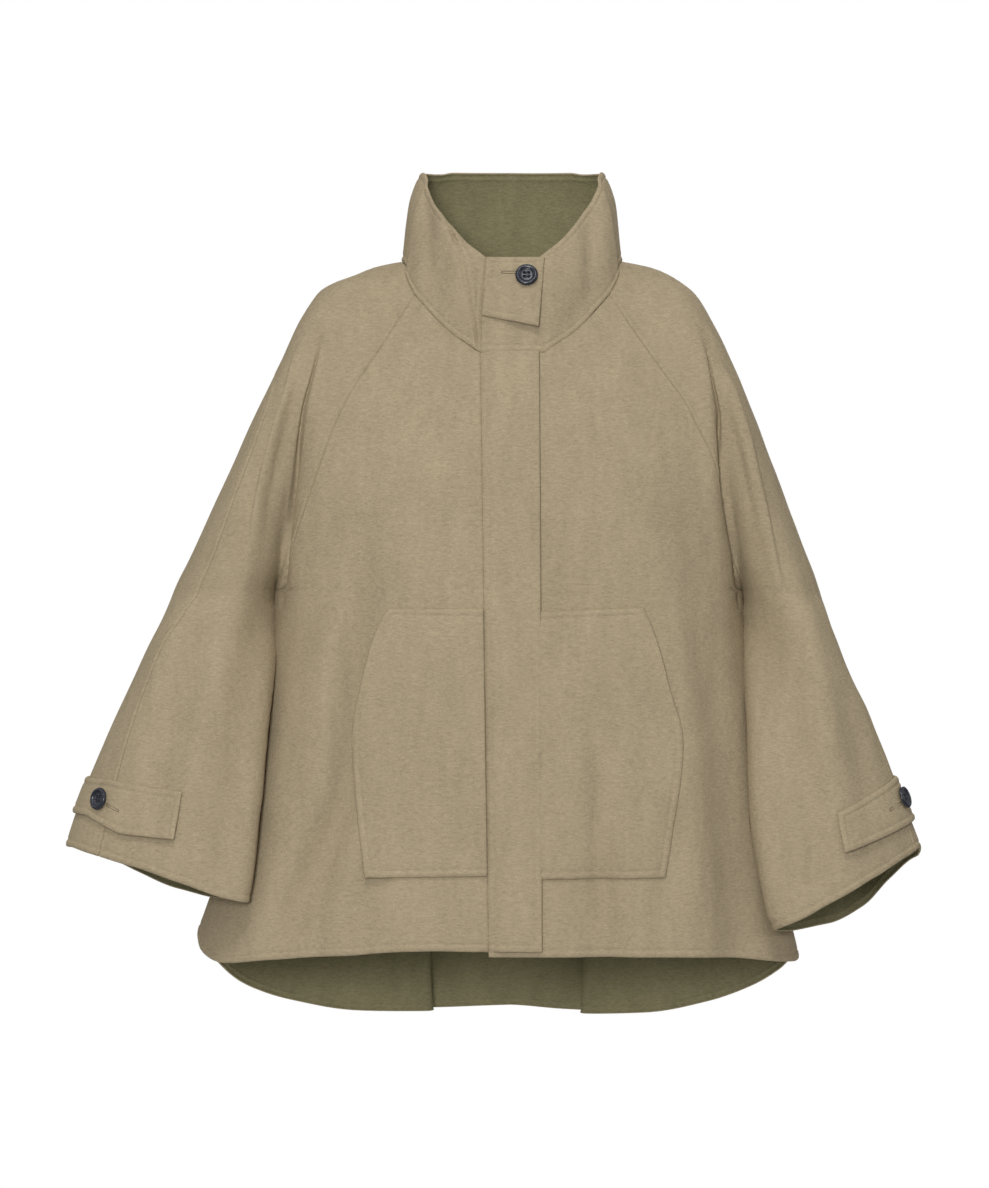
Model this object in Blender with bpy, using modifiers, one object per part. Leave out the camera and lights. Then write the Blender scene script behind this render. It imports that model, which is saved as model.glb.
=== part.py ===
"""A-line jacket in double-faced wool, filled out as when it is worn.

Raglan cape sleeves, a stand collar that closes with a button tab, a fly placket, two patch pockets
caught in at the front edges, a button tab on each cuff, and a back hem that dips below the front.

Frame: millimetres in the tables, metres in the scene. +Z is up and the front faces -Y. The origin is
the middle of the neck opening, level with the points where the shoulders meet the collar. "right"
and "left" are the wearer's, and the tables give x as a distance from the centre on that side.

Every piece of cloth is a wall lofted through level sections of the body and the sleeves. Above the
underarm one section runs over the body, into the fold at the armpit and round the sleeve. Below it
the body and the two sleeves have sections of their own.
"""

import math

import bmesh
import bpy
import numpy as np
from mathutils import Matrix, Vector
from mathutils.bvhtree import BVHTree

MM = 0.001
CLOTH = 2.5  # thickness of the double cloth
SEAM_GAP = 0.3  # space between two pieces that are sewn together
NEARLY_STRAIGHT = 0.9  # cosine above which two edges of a rim share one shift
LIFT = 0.5  # space under a piece that lies on another
SNAP = 0.8  # points this near to a cut are taken as on it

UNDERARM_Z = -330.0
NECK_FRONT_Z = -97.5
RAGLAN_NECK_Z = -37.5
BACK_NECK_Z = -6.0
PLACKET_TOP_X = 31.0  # line where the placket is sewn on, from the centre, at the neck
PLACKET_HEM_X = 23.0  # the same at the hem
PLACKET_EDGE_TOP_X = 25.0  # free edge of the placket, past the centre
PLACKET_EDGE_HEM_X = 27.0
PLACKET_HEM_Z = -672.0
UNDERLAP_SHORT = 0.6  # the left front ends this far before the line of the placket
BODY_ROUND = 2.3  # exponent of the body's sections: 2 is an ellipse, more is squarer
SLEEVE_ROUND = 2.1

RIGHT, LEFT = "right", "left"
SIGN = {RIGHT: -1.0, LEFT: 1.0}
FRONT, BACK = 1.0, -1.0

# Sections of the body: height, half width on each side, depth of the front and of the back.
BODY_COLUMNS = ("z", "right", "left", "front", "back")
BODY = (
    (20, 100, 100, 30, 52),
    (0, 110, 110, 44, 58),
    (-20, 123, 122, 60, 66),
    (-40, 146, 143, 71, 74),
    (-65, 181, 178, 81, 82),
    (-100, 215, 213, 94, 92),
    (-150, 230, 227, 110, 103),
    (-200, 234, 229, 121, 111),
    (-260, 235, 229, 130, 117),
    (-330, 236, 230, 135, 121),
    (-390, 241, 234, 137, 125),
    (-450, 249, 240, 139, 129),
    (-510, 262, 247.5, 141, 134),
    (-570, 277, 258, 143, 139),
    (-630, 300, 271, 145, 144),
    (-680, 318, 284, 147, 149),
    (-730, 330, 296, 149, 154),
    (-790, 341, 308, 151, 160),
)

# Sections of the sleeves: height, the inner end (x on each side, y), the outer end, the depth from
# the line between them to the front and to the back, and how far the back is fuller outside.
SLEEVE_COLUMNS = ("z", "in_right", "in_left", "in_y", "out_right", "out_left", "out_y", "front", "back",
                  "fuller")
SLEEVE = (
    (0, 58, 58, 0, 111, 111, 0, 13, 13, 0),
    (-2, 60, 60, 0, 121, 122, 0, 17, 17, 0),
    (-6, 64, 64, 0, 138, 139, 0, 23, 23, 0),
    (-14, 74, 74, 0, 158, 157, 0, 32, 32, 0),
    (-22, 84, 84, 0, 178, 170, 0, 39, 39, 0),
    (-30, 96, 94, 0, 191, 180, 0, 45, 45, 0),
    (-40, 108, 107, 0, 199, 188, 0, 51, 51, 0),
    (-60, 130, 129, 0, 212, 200, 0, 60, 60, 0),
    (-100, 165, 164, 0, 231, 219, 0, 69, 69, 0),
    (-150, 184, 188, 0, 255, 240, -1, 76, 75, 0),
    (-200, 198, 199, 0, 278, 259, -3, 79, 77, 0),
    (-260, 211, 209, 0, 305, 281, -5, 81, 77, 0),
    (-300, 223, 219, 0, 323, 296, -6, 80, 75, 0),
    (-330, 236, 230, 0, 337, 308, -7, 79, 72, 0),
    (-345, 237.9, 232.4, -12, 342, 312.5, -11, 76, 73, 0.18),
    (-360, 238.9, 234, -26, 347, 315.5, -16, 72, 77, 0.36),
    (-390, 239.5, 236.2, -52, 358.7, 320, -21, 65, 83, 0.58),
    (-450, 243, 239, -79, 385.8, 344, -26, 58, 83, 0.6),
    (-510, 248, 240.3, -95, 412.5, 370, -29, 53, 80, 0.56),
    (-570, 253.5, 244, -106, 434.8, 395, -32, 49, 75, 0.5),
    (-640, 261.5, 253, -116, 458, 418, -35, 46, 65, 0.42),
    (-700, 270, 261, -121, 477, 436, -37, 45, 62, 0.36),
)

# Neckline: height and distance from the centre, in front and behind.
NECKLINE = {
    FRONT: ((0, 110), (-2, 109.5), (-10, 107.5), (-19, 104.4), (-37.5, 95.8), (-50, 85.7),
            (-66, 71.7), (-80, 56.5), (-90.5, 41), (-97.5, 31)),
    BACK: ((0, 110), (-2, 103), (-6, 84)),
}

# Raglan seams: height and distance from the centre.
RAGLAN = {
    (RIGHT, FRONT): ((-37.5, 95.8), (-90, 127.8), (-138, 159), (-173, 175), (-216, 190),
                     (-270, 209), (-300, 221), (-318, 229.5), (-330, 236)),
    (LEFT, FRONT): ((-37.5, 95.8), (-71, 117), (-116, 148), (-147, 170), (-175, 183), (-201, 193),
                    (-229, 203), (-275, 214), (-310, 223), (-330, 230)),
    (RIGHT, BACK): ((-6, 84), (-60, 112), (-120, 148), (-180, 178), (-240, 201), (-290, 218),
                    (-330, 236)),
    (LEFT, BACK): ((-6, 84), (-60, 112), (-120, 148), (-180, 178), (-240, 199), (-290, 214),
                   (-330, 230)),
}

# How far the sleeve's top seam turns to the front, and its underarm seam to the back, in degrees.
TOP_SEAM_TURN = {
    RIGHT: ((0, 0), (-95, 0), (-138, 44), (-200, 55), (-278, 60), (-368, 63), (-487, 66), (-700, 69)),
    LEFT: ((0, 0), (-200, 0), (-260, 20), (-305, 33), (-455, 37), (-525, 44), (-700, 46)),
}
UNDERARM_SEAM_TURN = ((0, 0), (-330, 0), (-400, 20), (-500, 38), (-700, 45))

# Radius of the fold where sleeve and body meet above the underarm.
ARMPIT_FOLD = ((0, 13), (-60, 20), (-100, 20), (-140, 13), (-200, 8), (-260, 5), (-315, 3),
               (-330, 0))

# Hem: height at each angle round the body, from the centre front (0) to the centre back (180).
HEM = {
    RIGHT: ((0, -672), (12, -672), (28, -678), (45, -684), (60, -690), (72, -683), (82, -671), (90, -667),
            (100, -677), (112, -702), (126, -732), (140, -752), (156, -766), (168, -768), (180, -765)),
    LEFT: ((0, -677), (20, -678), (45, -682), (65, -690), (80, -693), (90, -692), (100, -697),
           (112, -713), (126, -734), (140, -753), (156, -768), (168, -771), (180, -765)),
}
# Edge of each cuff: height at each turn, from the back (below 0) through the inner end (0) and the
# front (90) to the outer end (180). The first and last rows repeat others, so that the ends join.
CUFF_EDGE = {
    RIGHT: ((-210, -578), (-180, -581), (-150, -593), (-120, -611), (-90, -625), (-60, -630),
            (-30, -629.5), (0, -627.5), (30, -621), (60, -607.5), (90, -593), (120, -583),
            (150, -578), (180, -581), (210, -593)),
    LEFT: ((-210, -580), (-180, -590), (-150, -616), (-120, -645), (-90, -659), (-60, -661),
           (-30, -658), (0, -653), (30, -643), (60, -625), (90, -604), (120, -587),
           (150, -580), (180, -590), (210, -616)),
}

# Troughs that the cloth of the fronts falls into: place at the top and at the hem, size.
TROUGH_COLUMNS = ("top_x", "top_z", "hem_x", "width", "depth")
TROUGHS = {
    RIGHT: ((158, -340, 188, 20, 8), (104, -520, 121, 15, 5), (62, -540, 68, 13, 4)),
    LEFT: ((80, -370, 88, 19, 6), (190, -480, 214, 16, 5)),
}
# The back's middle falls in one deep pleat, whose two edges fold over at these distances.
PLEAT_TOP_Z = -330.0
PLEAT_HEM_Z = -770.0
PLEAT_EDGE = {RIGHT: 91.0, LEFT: 82.0}
PLEAT_DEPTH = 28.0
PLEAT_TURN = 16.0  # half width of the turn at each edge
PLEAT_OVERLAP = 2.1  # how far the turn folds over, as a share of its half width

COLLAR_HEIGHT = ((0, 93), (60, 93), (110, 90), (180, 98))  # at each angle from the front
COLLAR_MIDDLE_Y = -14.0
# Profile of the collar: share of its height, and how far it has drawn in to the middle.
COLLAR_PROFILE = ((0, 1.0), (0.12, 0.985), (0.38, 0.965), (0.65, 0.935), (0.85, 0.885), (1.0, 0.825))
COLLAR_ROWS = (0, 0.2, 0.42, 0.65, 0.85, 1.0)

UPPER_ROWS = (-2, -6, -12, -20, -28, RAGLAN_NECK_Z, -50, -64, -80, NECK_FRONT_Z, -122, -150, -180,
              -212, -245, -275, -300, -318, UNDERARM_Z)
BODY_ROWS = 10  # rows from the underarm to the hem
SLEEVE_ROWS = 8  # rows from the underarm to the cuff
FRONT_COLUMNS = 12
UNDERLAP_COLUMNS = 3
ARMPIT_COLUMNS = 2  # between the raglan seam and the armpit fold
ARM_COLUMNS = {FRONT: 6, BACK: 9}  # between the armpit fold and the sleeve's top seam
# Columns of the back, as shares of the way from its middle to its side, closer at the pleat's edge.
BACK_SHARES = (0, 0.08, 0.15, 0.185, 0.205, 0.225, 0.245, 0.27, 0.31, 0.39, 0.5, 0.62, 0.74, 0.87, 1)
FINE = 160  # points of a section before it is divided into columns

# Pockets: the outline of the outer side, from the top corner to the bottom one.
POCKET_OUTLINE = {
    RIGHT: ((118, -347), (124, -355), (141, -408), (153, -471), (149, -534), (141, -603)),
    LEFT: ((124, -346), (133, -368), (147, -424), (160, -476), (150, -573), (145, -603)),
}
POCKET_INNER_TOP_Z = {RIGHT: -347.0, LEFT: -350.0}
POCKET_INNER_HEM_Z = {RIGHT: -600.0, LEFT: -603.0}

POCKET_GAP = 0.8  # from the placket's free edge to the left pocket

COLLAR_TAB_LOW_Z = (-64.0, -80.0)  # lower edge of the collar's tab, at its root and at its end
COLLAR_TAB_X = 29.0

# Cuff tabs: a point inside each, the lines of their edges, and how far they pass the outer end.
CUFF_TAB_MIDDLE = {RIGHT: (360, -540), LEFT: (350, -548)}
CUFF_TAB_LINES = {
    RIGHT: (((318, -523), (400, -513)), ((320, -567), (372, -563)), ((372, -563), (412, -547)),
            ((318, -524), (320.5, -567))),
    LEFT: (((306, -544), (384, -512)), ((315, -578), (394, -551)), ((306, -545), (315, -577))),
}
CUFF_TAB_WRAP = 14.0

BUTTON_COLLAR = (13.6, -23.0)
BUTTON_CUFF = {RIGHT: (400.0, -531.0), LEFT: (381.5, -531.0)}
BUTTON_RADIUS = 11.0
BUTTON_HEIGHT = 3.6
# Profile from the middle of the top to the middle of the underside, in shares of radius and height.
BUTTON_PROFILE = ((0, 0.55), (0.55, 0.55), (0.68, 0.9), (0.82, 1), (0.95, 0.8), (1, 0.45), (0.9, 0.1),
                  (0.7, 0), (0, 0))
BUTTON_SIDES = 28
BUTTON_HOLE = 1.1
BUTTON_HOLE_RING = 2.7
BUTTON_GAP = 0.5
AIM_OFFSETS = ((0, 0), (5, 0), (-5, 0), (0, 6), (0, -6))  # where a tab is felt for, round a button


def smooth_value(at, table, column=1):
    """A value that passes through its table's rows, smoothly and with no overshoot."""
    rows = sorted(table)
    xs = np.array([row[0] for row in rows], float)
    ys = np.array([row[column] for row in rows], float)
    steps = np.diff(xs)
    slopes = np.diff(ys) / steps
    tangents = np.zeros(len(xs))
    tangents[0], tangents[-1] = slopes[0], slopes[-1]
    for i in range(1, len(xs) - 1):
        before, after = slopes[i - 1], slopes[i]
        if before * after > 0:
            near = 2 * steps[i] + steps[i - 1]
            far = steps[i] + 2 * steps[i - 1]
            tangents[i] = (near + far) / (near / before + far / after)
    at = np.clip(np.asarray(at, float), xs[0], xs[-1])
    i = np.clip(np.searchsorted(xs, at) - 1, 0, len(xs) - 2)
    t = (at - xs[i]) / steps[i]
    return (
        ys[i] * (1 + 2 * t) * (1 - t) ** 2
        + ys[i + 1] * t * t * (3 - 2 * t)
        + steps[i] * (tangents[i] * t * (1 - t) ** 2 + tangents[i + 1] * t * t * (t - 1))
    )


def body_size(name, z):
    return smooth_value(z, BODY, BODY_COLUMNS.index(name))


def sleeve_size(name, z):
    return smooth_value(z, SLEEVE, SLEEVE_COLUMNS.index(name))


def power(value, exponent):
    return np.sign(value) * np.abs(value) ** exponent


def growth(z, top, low):
    """0 above a fold's top, and 1 at its lower end."""
    return np.clip((top - z) / (top - low), 0, 1) ** 1.3


def fold(side, face, x, y, z):
    """The troughs of a front or the pleat of the back, added to points of one side of the body."""
    if face == FRONT:
        for top_x, top_z, hem_x, width, depth in TROUGHS[side]:
            middle = top_x + (hem_x - top_x) * np.clip((top_z - z) / (top_z - PLACKET_HEM_Z), 0, 1)
            y = y + depth * growth(z, top_z, PLACKET_HEM_Z) * np.exp(-0.5 * ((x - middle) / width) ** 2)
        return x, y
    amount = growth(z, PLEAT_TOP_Z, PLEAT_HEM_Z)
    across = (x - PLEAT_EDGE[side]) / PLEAT_TURN
    y = y + PLEAT_DEPTH * amount * (1 / (1 + np.exp(1.9 * across)) - 0.45)
    x = x - PLEAT_OVERLAP * PLEAT_TURN * amount * across * np.exp(-0.5 * across**2)
    return x, y


def body_points(side, face, turn, z):
    """Points of one side of the body, x from the centre outwards. turn runs from 0 at the centre of
    that face to a quarter circle at the side seam."""
    turn, z = np.broadcast_arrays(np.asarray(turn, float), np.asarray(z, float))
    depth = body_size("front" if face == FRONT else "back", z)
    x = body_size(side, z) * power(np.sin(turn), 2 / BODY_ROUND)
    y = -face * depth * power(np.maximum(np.cos(turn), 0), 2 / BODY_ROUND)
    ease = np.clip(np.cos(turn) * 4, 0, 1)  # no fold reaches the side seam
    folded_x, folded_y = fold(side, face, x, y, z)
    return np.stack([x + (folded_x - x) * ease, y + (folded_y - y) * ease, z], axis=-1)


def body_turn(side, x, z):
    """The turn at which the body's section at height z reaches the distance x from the centre."""
    share = np.clip(x / body_size(side, z), -1, 1)
    return float(np.arcsin(power(share, BODY_ROUND / 2)))


def sleeve_axes(side, z):
    """Middle, half length, and the unit vectors to the outer end and to the front of a section."""
    inner = np.stack([sleeve_size("in_" + side, z), sleeve_size("in_y", z)], axis=-1)
    outer = np.stack([sleeve_size("out_" + side, z), sleeve_size("out_y", z)], axis=-1)
    length = np.linalg.norm(outer - inner, axis=-1)
    along = (outer - inner) / length[..., None]
    forward = np.stack([along[..., 1], -along[..., 0]], axis=-1)
    return (inner + outer) / 2, length / 2, along, forward


def sleeve_points(side, turn, z):
    """Points of a sleeve. turn is 0 at the inner end, a quarter circle in front, a half outside."""
    turn, z = np.broadcast_arrays(np.asarray(turn, float), np.asarray(z, float))
    middle, half, along, forward = sleeve_axes(side, z)
    u = -half * power(np.cos(turn), 2 / SLEEVE_ROUND)
    fuller = 1 - sleeve_size("fuller", z) * np.cos(turn)
    depth = np.where(np.sin(turn) > 0, sleeve_size("front", z), sleeve_size("back", z) * fuller)
    v = depth * power(np.sin(turn), 2 / SLEEVE_ROUND)
    flat = middle + u[..., None] * along + v[..., None] * forward
    return np.concatenate([flat, z[..., None]], axis=-1)


def inside_sleeve(side, points):
    """Below 0 where a point is inside the sleeve's section at its height, and its turn there."""
    middle, half, along, forward = sleeve_axes(side, points[:, 2])
    offset = points[:, :2] - middle
    u = (offset * along).sum(axis=1) / half
    v = (offset * forward).sum(axis=1)
    v = v / np.where(v > 0, sleeve_size("front", points[:, 2]), sleeve_size("back", points[:, 2]))
    level = np.abs(u) ** SLEEVE_ROUND + np.abs(v) ** SLEEVE_ROUND - 1
    turn = np.arctan2(power(v, SLEEVE_ROUND / 2), -power(u, SLEEVE_ROUND / 2))
    return level, turn


def lengths_along(points):
    return np.concatenate([[0], np.cumsum(np.linalg.norm(np.diff(points, axis=0), axis=1))])


def divide(points, shares):
    """Points at these shares of a line's length."""
    lengths = lengths_along(points)
    at = np.asarray(shares, float) * lengths[-1]
    return np.stack([np.interp(at, lengths, points[:, k]) for k in range(3)], axis=1)


def round_corner(points, corner, radius):
    """Rounds a line near its corner, and gives the part before and the part after."""
    if radius <= 0:
        return points[: corner + 1], points[corner:]
    lengths = lengths_along(points)
    even = np.linspace(0, lengths[-1], 4 * FINE)
    line = divide(points, even / lengths[-1])
    reach = max(2, math.ceil(3 * radius / even[1]))
    kernel = np.exp(-0.5 * (np.arange(-reach, reach + 1) * even[1] / radius) ** 2)
    kernel /= kernel.sum()
    padded = np.pad(line, ((reach, reach), (0, 0)), mode="edge")
    smooth = np.stack([np.convolve(padded[:, k], kernel, "valid") for k in range(3)], axis=1)
    away = np.abs(even - lengths[corner]) / (3 * radius)
    room = np.minimum(even, even[-1] - even) / (3 * radius)
    weight = np.clip(1.5 - away, 0, 1) * np.clip(room, 0, 1)
    line = line + (smooth - line) * (weight * weight * (3 - 2 * weight))[:, None]
    middle = int(np.argmin(away))
    return line[: middle + 1], line[middle:]


def upper_section(side, face, z):
    """One side of the section at a height above the underarm: the line over the body, from the
    centre to the armpit fold, the line on from there to the sleeve's top seam, and the shares of
    the second line at which the arm's columns lie."""
    body = body_points(side, face, np.linspace(0, math.pi / 2, 6 * FINE), z)
    level, sleeve_turn = inside_sleeve(side, body)
    covered = np.where(level < 0)[0]
    last = len(body) - 1
    start = 0.0
    if z > UNDERARM_Z and len(covered):
        last = int(covered[0])
        start = abs(float(sleeve_turn[last]))
    end = math.pi - face * math.radians(float(smooth_value(z, TOP_SEAM_TURN[side])))
    arm = sleeve_points(side, face * np.linspace(start, end, 4 * FINE), z)
    line = np.concatenate([body[: last + 1], arm[1:]])
    before, after = round_corner(line, last, float(smooth_value(z, ARMPIT_FOLD)))
    return before, after, column_shares(arm, ARM_COLUMNS[face])


def column_shares(line, columns):
    """Shares of a line's length at equal steps of its points, so closer where it bends."""
    lengths = lengths_along(line)
    steps = np.linspace(0, len(line) - 1, columns + 1).round().astype(int)
    return lengths[steps] / lengths[-1]


def cut_at_x(line, start_x, end_x):
    """The stretch of a line between two distances from the centre."""
    xs = np.maximum.accumulate(line[:, 0])
    lengths = lengths_along(line)
    start, end = np.interp([start_x, end_x], xs, lengths) / lengths[-1]
    return divide(line, np.linspace(start, end, FINE))


def placket_x(z):
    """Distance of the placket's seam from the centre."""
    share = np.clip((NECK_FRONT_Z - z) / (NECK_FRONT_Z - PLACKET_HEM_Z), 0, 1)
    return float(PLACKET_TOP_X + (PLACKET_HEM_X - PLACKET_TOP_X) * share)


def to_world(points, side):
    """Points of one side, with x to the wearer's left."""
    return points * np.array([SIGN[side], 1, 1])


def front_row(side, row):
    """Row of a front below the underarm, from the line of the placket to the side seam."""
    share = row / BODY_ROWS
    start_z = UNDERARM_Z + (HEM[side][0][1] - UNDERARM_Z) * share
    turns = np.linspace(body_turn(side, placket_x(start_z), start_z), math.pi / 2, 2 * FINE)
    z = UNDERARM_Z + (smooth_value(np.degrees(turns), HEM[side]) - UNDERARM_Z) * share
    return body_points(side, FRONT, turns, z)


def front_rows(side):
    """Rows of a front, from the neckline or the placket's line to the raglan and side seams."""
    shares = np.linspace(0, 1, FRONT_COLUMNS + 1)
    rows = []
    for z in UPPER_ROWS[UPPER_ROWS.index(RAGLAN_NECK_Z):]:
        line = upper_section(side, FRONT, z)[0]
        inner = smooth_value(z, NECKLINE[FRONT]) if z > NECK_FRONT_Z else placket_x(z)
        seam = smooth_value(z, RAGLAN[side, FRONT])
        rows.append(divide(cut_at_x(line, inner, seam), shares))
    for row in range(1, BODY_ROWS + 1):
        rows.append(divide(front_row(side, row), shares))
    return [to_world(row, side) for row in rows]


def underlap_rows(left_rows):
    """Rows of the strip of the left front that runs on under the placket."""
    shares = np.linspace(0, 1, UNDERLAP_COLUMNS + 1)
    first = UPPER_ROWS.index(NECK_FRONT_Z) - UPPER_ROWS.index(RAGLAN_NECK_Z)
    rows = []
    for row in left_rows[first:]:
        x, _, z = row[0]
        xs = x + (UNDERLAP_SHORT - x - x) * shares
        strip = []
        for at in xs:
            side = LEFT if at >= 0 else RIGHT
            turn = body_turn(side, abs(at), z)
            strip.append(to_world(body_points(side, FRONT, turn, z), side))
        strip[0] = row[0]
        rows.append(np.array(strip[::-1]))
    return rows


def back_rows():
    """Rows of the back, from the right raglan and side seams to the left ones."""
    rows = []
    for z in UPPER_ROWS[UPPER_ROWS.index(BACK_NECK_Z):]:
        halves = []
        for side in (RIGHT, LEFT):
            line = upper_section(side, BACK, z)[0]
            half = divide(cut_at_x(line, 0, smooth_value(z, RAGLAN[side, BACK])), BACK_SHARES)
            halves.append(to_world(half, side))
        rows.append(np.concatenate([halves[0][::-1], halves[1][1:]]))
    for row in range(1, BODY_ROWS + 1):
        halves = []
        for side in (RIGHT, LEFT):
            turns = np.linspace(0, math.pi / 2, 4 * FINE)
            hem = smooth_value(180 - np.degrees(turns), HEM[side])
            z = UNDERARM_Z + (hem - UNDERARM_Z) * row / BODY_ROWS
            halves.append(to_world(divide(body_points(side, BACK, turns, z), BACK_SHARES), side))
        rows.append(np.concatenate([halves[0][::-1], halves[1][1:]]))
    return rows


def sleeve_upper_rows(side, face):
    """Rows of half a sleeve above the underarm, from the neckline or raglan seam to the top seam."""
    neck = np.array([[NECKLINE[face][0][1], 0, 0]])
    rows = [to_world(np.repeat(neck, ARMPIT_COLUMNS + ARM_COLUMNS[face] + 1, axis=0), side)]
    raglan = RAGLAN[side, face]
    for z in UPPER_ROWS:
        body, arm, shares = upper_section(side, face, z)
        start = smooth_value(z, raglan if z <= raglan[0][0] else NECKLINE[face])
        armpit = divide(cut_at_x(body, start, body[-1][0]), np.linspace(0, 1, ARMPIT_COLUMNS + 1))
        outer = divide(arm, shares)
        rows.append(to_world(np.concatenate([armpit[:-1], outer]), side))
    return rows


def cuff_z(side, turn):
    """Height of the cuff's edge round the sleeve."""
    return smooth_value((np.degrees(turn) + 180) % 360 - 180, CUFF_EDGE[side])


def sleeve_lower_rows(side, face, underarm_row):
    """Rows of half a sleeve from the underarm to the cuff, from its underarm seam to its top seam."""
    rows = [underarm_row[ARMPIT_COLUMNS:]]
    for row in range(1, SLEEVE_ROWS + 1):
        z = np.full(2 * FINE, UNDERARM_Z)
        for _ in range(3):  # the seams turn with height, and height with the turn
            low = math.radians(float(smooth_value(z[0], UNDERARM_SEAM_TURN)))
            high = math.radians(float(smooth_value(z[-1], TOP_SEAM_TURN[side])))
            turns = np.linspace(-low, face * math.pi - high, 2 * FINE)
            z = UNDERARM_Z + (cuff_z(side, turns) - UNDERARM_Z) * row / SLEEVE_ROWS
        line = sleeve_points(side, turns, z)
        rows.append(to_world(divide(line, column_shares(line, ARM_COLUMNS[face])), side))
    return rows


def place(point):
    """A point's place to a thousandth of a millimetre, which points that are the same share."""
    return tuple(round(float(c), 3) + 0.0 for c in point)


class Skin:
    """The outer face of a piece of cloth: triangles, with its points joined where they meet."""

    def __init__(self, name):
        self.name = name
        self.points = []
        self.numbers = {}
        self.faces = []

    def number(self, point):
        key = place(point)
        if key not in self.numbers:
            self.numbers[key] = len(self.points)
            self.points.append(np.array(key))
        return self.numbers[key]

    def add_face(self, corners):
        kept = [c for i, c in enumerate(corners) if c != corners[i - 1]]
        if len(set(kept)) == len(kept) > 2:
            self.faces.append(tuple(kept))

    def add_grid(self, rows, turned):
        """Triangles between rows of points. turned puts the outside on the other face."""
        for upper, lower in zip(rows, rows[1:]):
            for j in range(len(upper) - 1):
                a, b, c, d = (self.number(p) for p in (upper[j], lower[j], lower[j + 1], upper[j + 1]))
                if turned:
                    b, d = d, b
                points = [self.points[k] for k in (a, b, c, d)]
                if np.linalg.norm(points[0] - points[2]) <= np.linalg.norm(points[1] - points[3]):
                    self.add_face((a, b, c))
                    self.add_face((a, c, d))
                else:
                    self.add_face((a, b, d))
                    self.add_face((b, c, d))
        return self

    def face_normal(self, face):
        a, b, c = (self.points[k] for k in face)
        return np.cross(b - a, c - a)

    def rim(self):
        """Each edge that only one face has, in that face's direction, with the face's normal."""
        edges = {}
        for face in self.faces:
            for i, a in enumerate(face):
                edges[a, face[(i + 1) % len(face)]] = face
        return {
            edge: unit(self.face_normal(face)) for edge, face in edges.items() if edge[::-1] not in edges
        }

    def edge_place(self, edge):
        return frozenset(place(self.points[k]) for k in edge)


def unit(vector):
    return vector / max(np.linalg.norm(vector), 1e-12)


def shared_normals(skins):
    """The normal at each place, the same for every piece that meets there. Each face counts by its
    angle. At the underarm the pieces meet in a saddle, where the cloth lies level."""
    normals = {}
    for skin in skins:
        for face in skin.faces:
            normal = unit(skin.face_normal(face))
            for i, k in enumerate(face):
                ahead = unit(skin.points[face[(i + 1) % 3]] - skin.points[k])
                behind = unit(skin.points[face[i - 1]] - skin.points[k])
                angle = math.acos(float(np.clip(ahead @ behind, -1, 1)))
                key = place(skin.points[k])
                normals[key] = normals.get(key, 0) + normal * angle
    normals = {key: unit(value) for key, value in normals.items()}
    for side in (RIGHT, LEFT):
        underarm = to_world(np.array([body_size(side, UNDERARM_Z), 0, UNDERARM_Z]), side)
        normals[place(underarm)] = np.array([0.0, 0.0, -1.0])
    return normals


def seam_places(skins):
    """Places of the edges along which two pieces are sewn together."""
    seen = {}
    for skin in skins:
        for edge in skin.rim():
            key = skin.edge_place(edge)
            seen[key] = seen.get(key, 0) + 1
    return {key for key, count in seen.items() if count > 1}


def seam_shifts(skin, seams):
    """How far each point moves inside its piece, to leave half of the gap along every seam."""
    sides = {}
    for edge, normal in skin.rim().items():
        a, b = (skin.points[k] for k in edge)
        inward = unit(np.cross(normal, b - a))
        gap = SEAM_GAP / 2 if skin.edge_place(edge) in seams else 0.0
        for k in edge:
            sides.setdefault(k, []).append((inward, gap))
    shifts = np.zeros((len(skin.points), 3))
    for k, pairs in sides.items():
        directions = np.array([pair[0] for pair in pairs])
        gaps = np.array([pair[1] for pair in pairs])
        mean = unit(directions.sum(axis=0))
        if (directions @ mean).min() > NEARLY_STRAIGHT:
            shifts[k] = mean * gaps.mean()
        else:
            shifts[k] = np.linalg.lstsq(directions, gaps, rcond=0.05)[0]
    return shifts


def make_material(name, colour, roughness, metallic=0.0):
    material = bpy.data.materials.new(name)
    material.use_nodes = True
    shader = material.node_tree.nodes["Principled BSDF"]
    shader.inputs["Base Color"].default_value = (*colour, 1)
    shader.inputs["Roughness"].default_value = roughness
    shader.inputs["Metallic"].default_value = metallic
    return material


def make_object(name, points, faces, material, collection):
    mesh = bpy.data.meshes.new(name)
    mesh.from_pydata([tuple(p * MM) for p in points], [], faces)
    mesh.materials.append(material)
    mesh.shade_smooth()
    mesh.set_sharp_from_angle(angle=math.radians(40))
    part = bpy.data.objects.new(name, mesh)
    collection.objects.link(part)
    return part


def wall_between(outer, inner, base, faces, rim):
    """Points and faces of the closed wall between two layers over the same base. Two pieces that
    meet along an edge divide the quads of their rims alike, so that the gap between them is even."""
    count = len(outer)
    walls = list(faces)
    walls += [tuple(k + count for k in reversed(face)) for face in faces]
    for a, b in rim:
        if place(base[a]) < place(base[b]):
            walls += [(b, a, b + count), (a, a + count, b + count)]
        else:
            walls += [(b, a, a + count), (b, a + count, b + count)]
    return np.concatenate([outer, inner]), walls


def sew(skins, material, collection):
    """Makes a wall of each piece, the thickness inwards, with a gap along each seam."""
    normals = shared_normals(skins)
    seams = seam_places(skins)
    for skin in skins:
        outer = np.array(skin.points) + seam_shifts(skin, seams)
        inner = outer - CLOTH * np.array([normals[place(p)] for p in skin.points])
        points, faces = wall_between(outer, inner, skin.points, skin.faces, skin.rim())
        make_object(skin.name, points, faces, material, collection)


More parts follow.
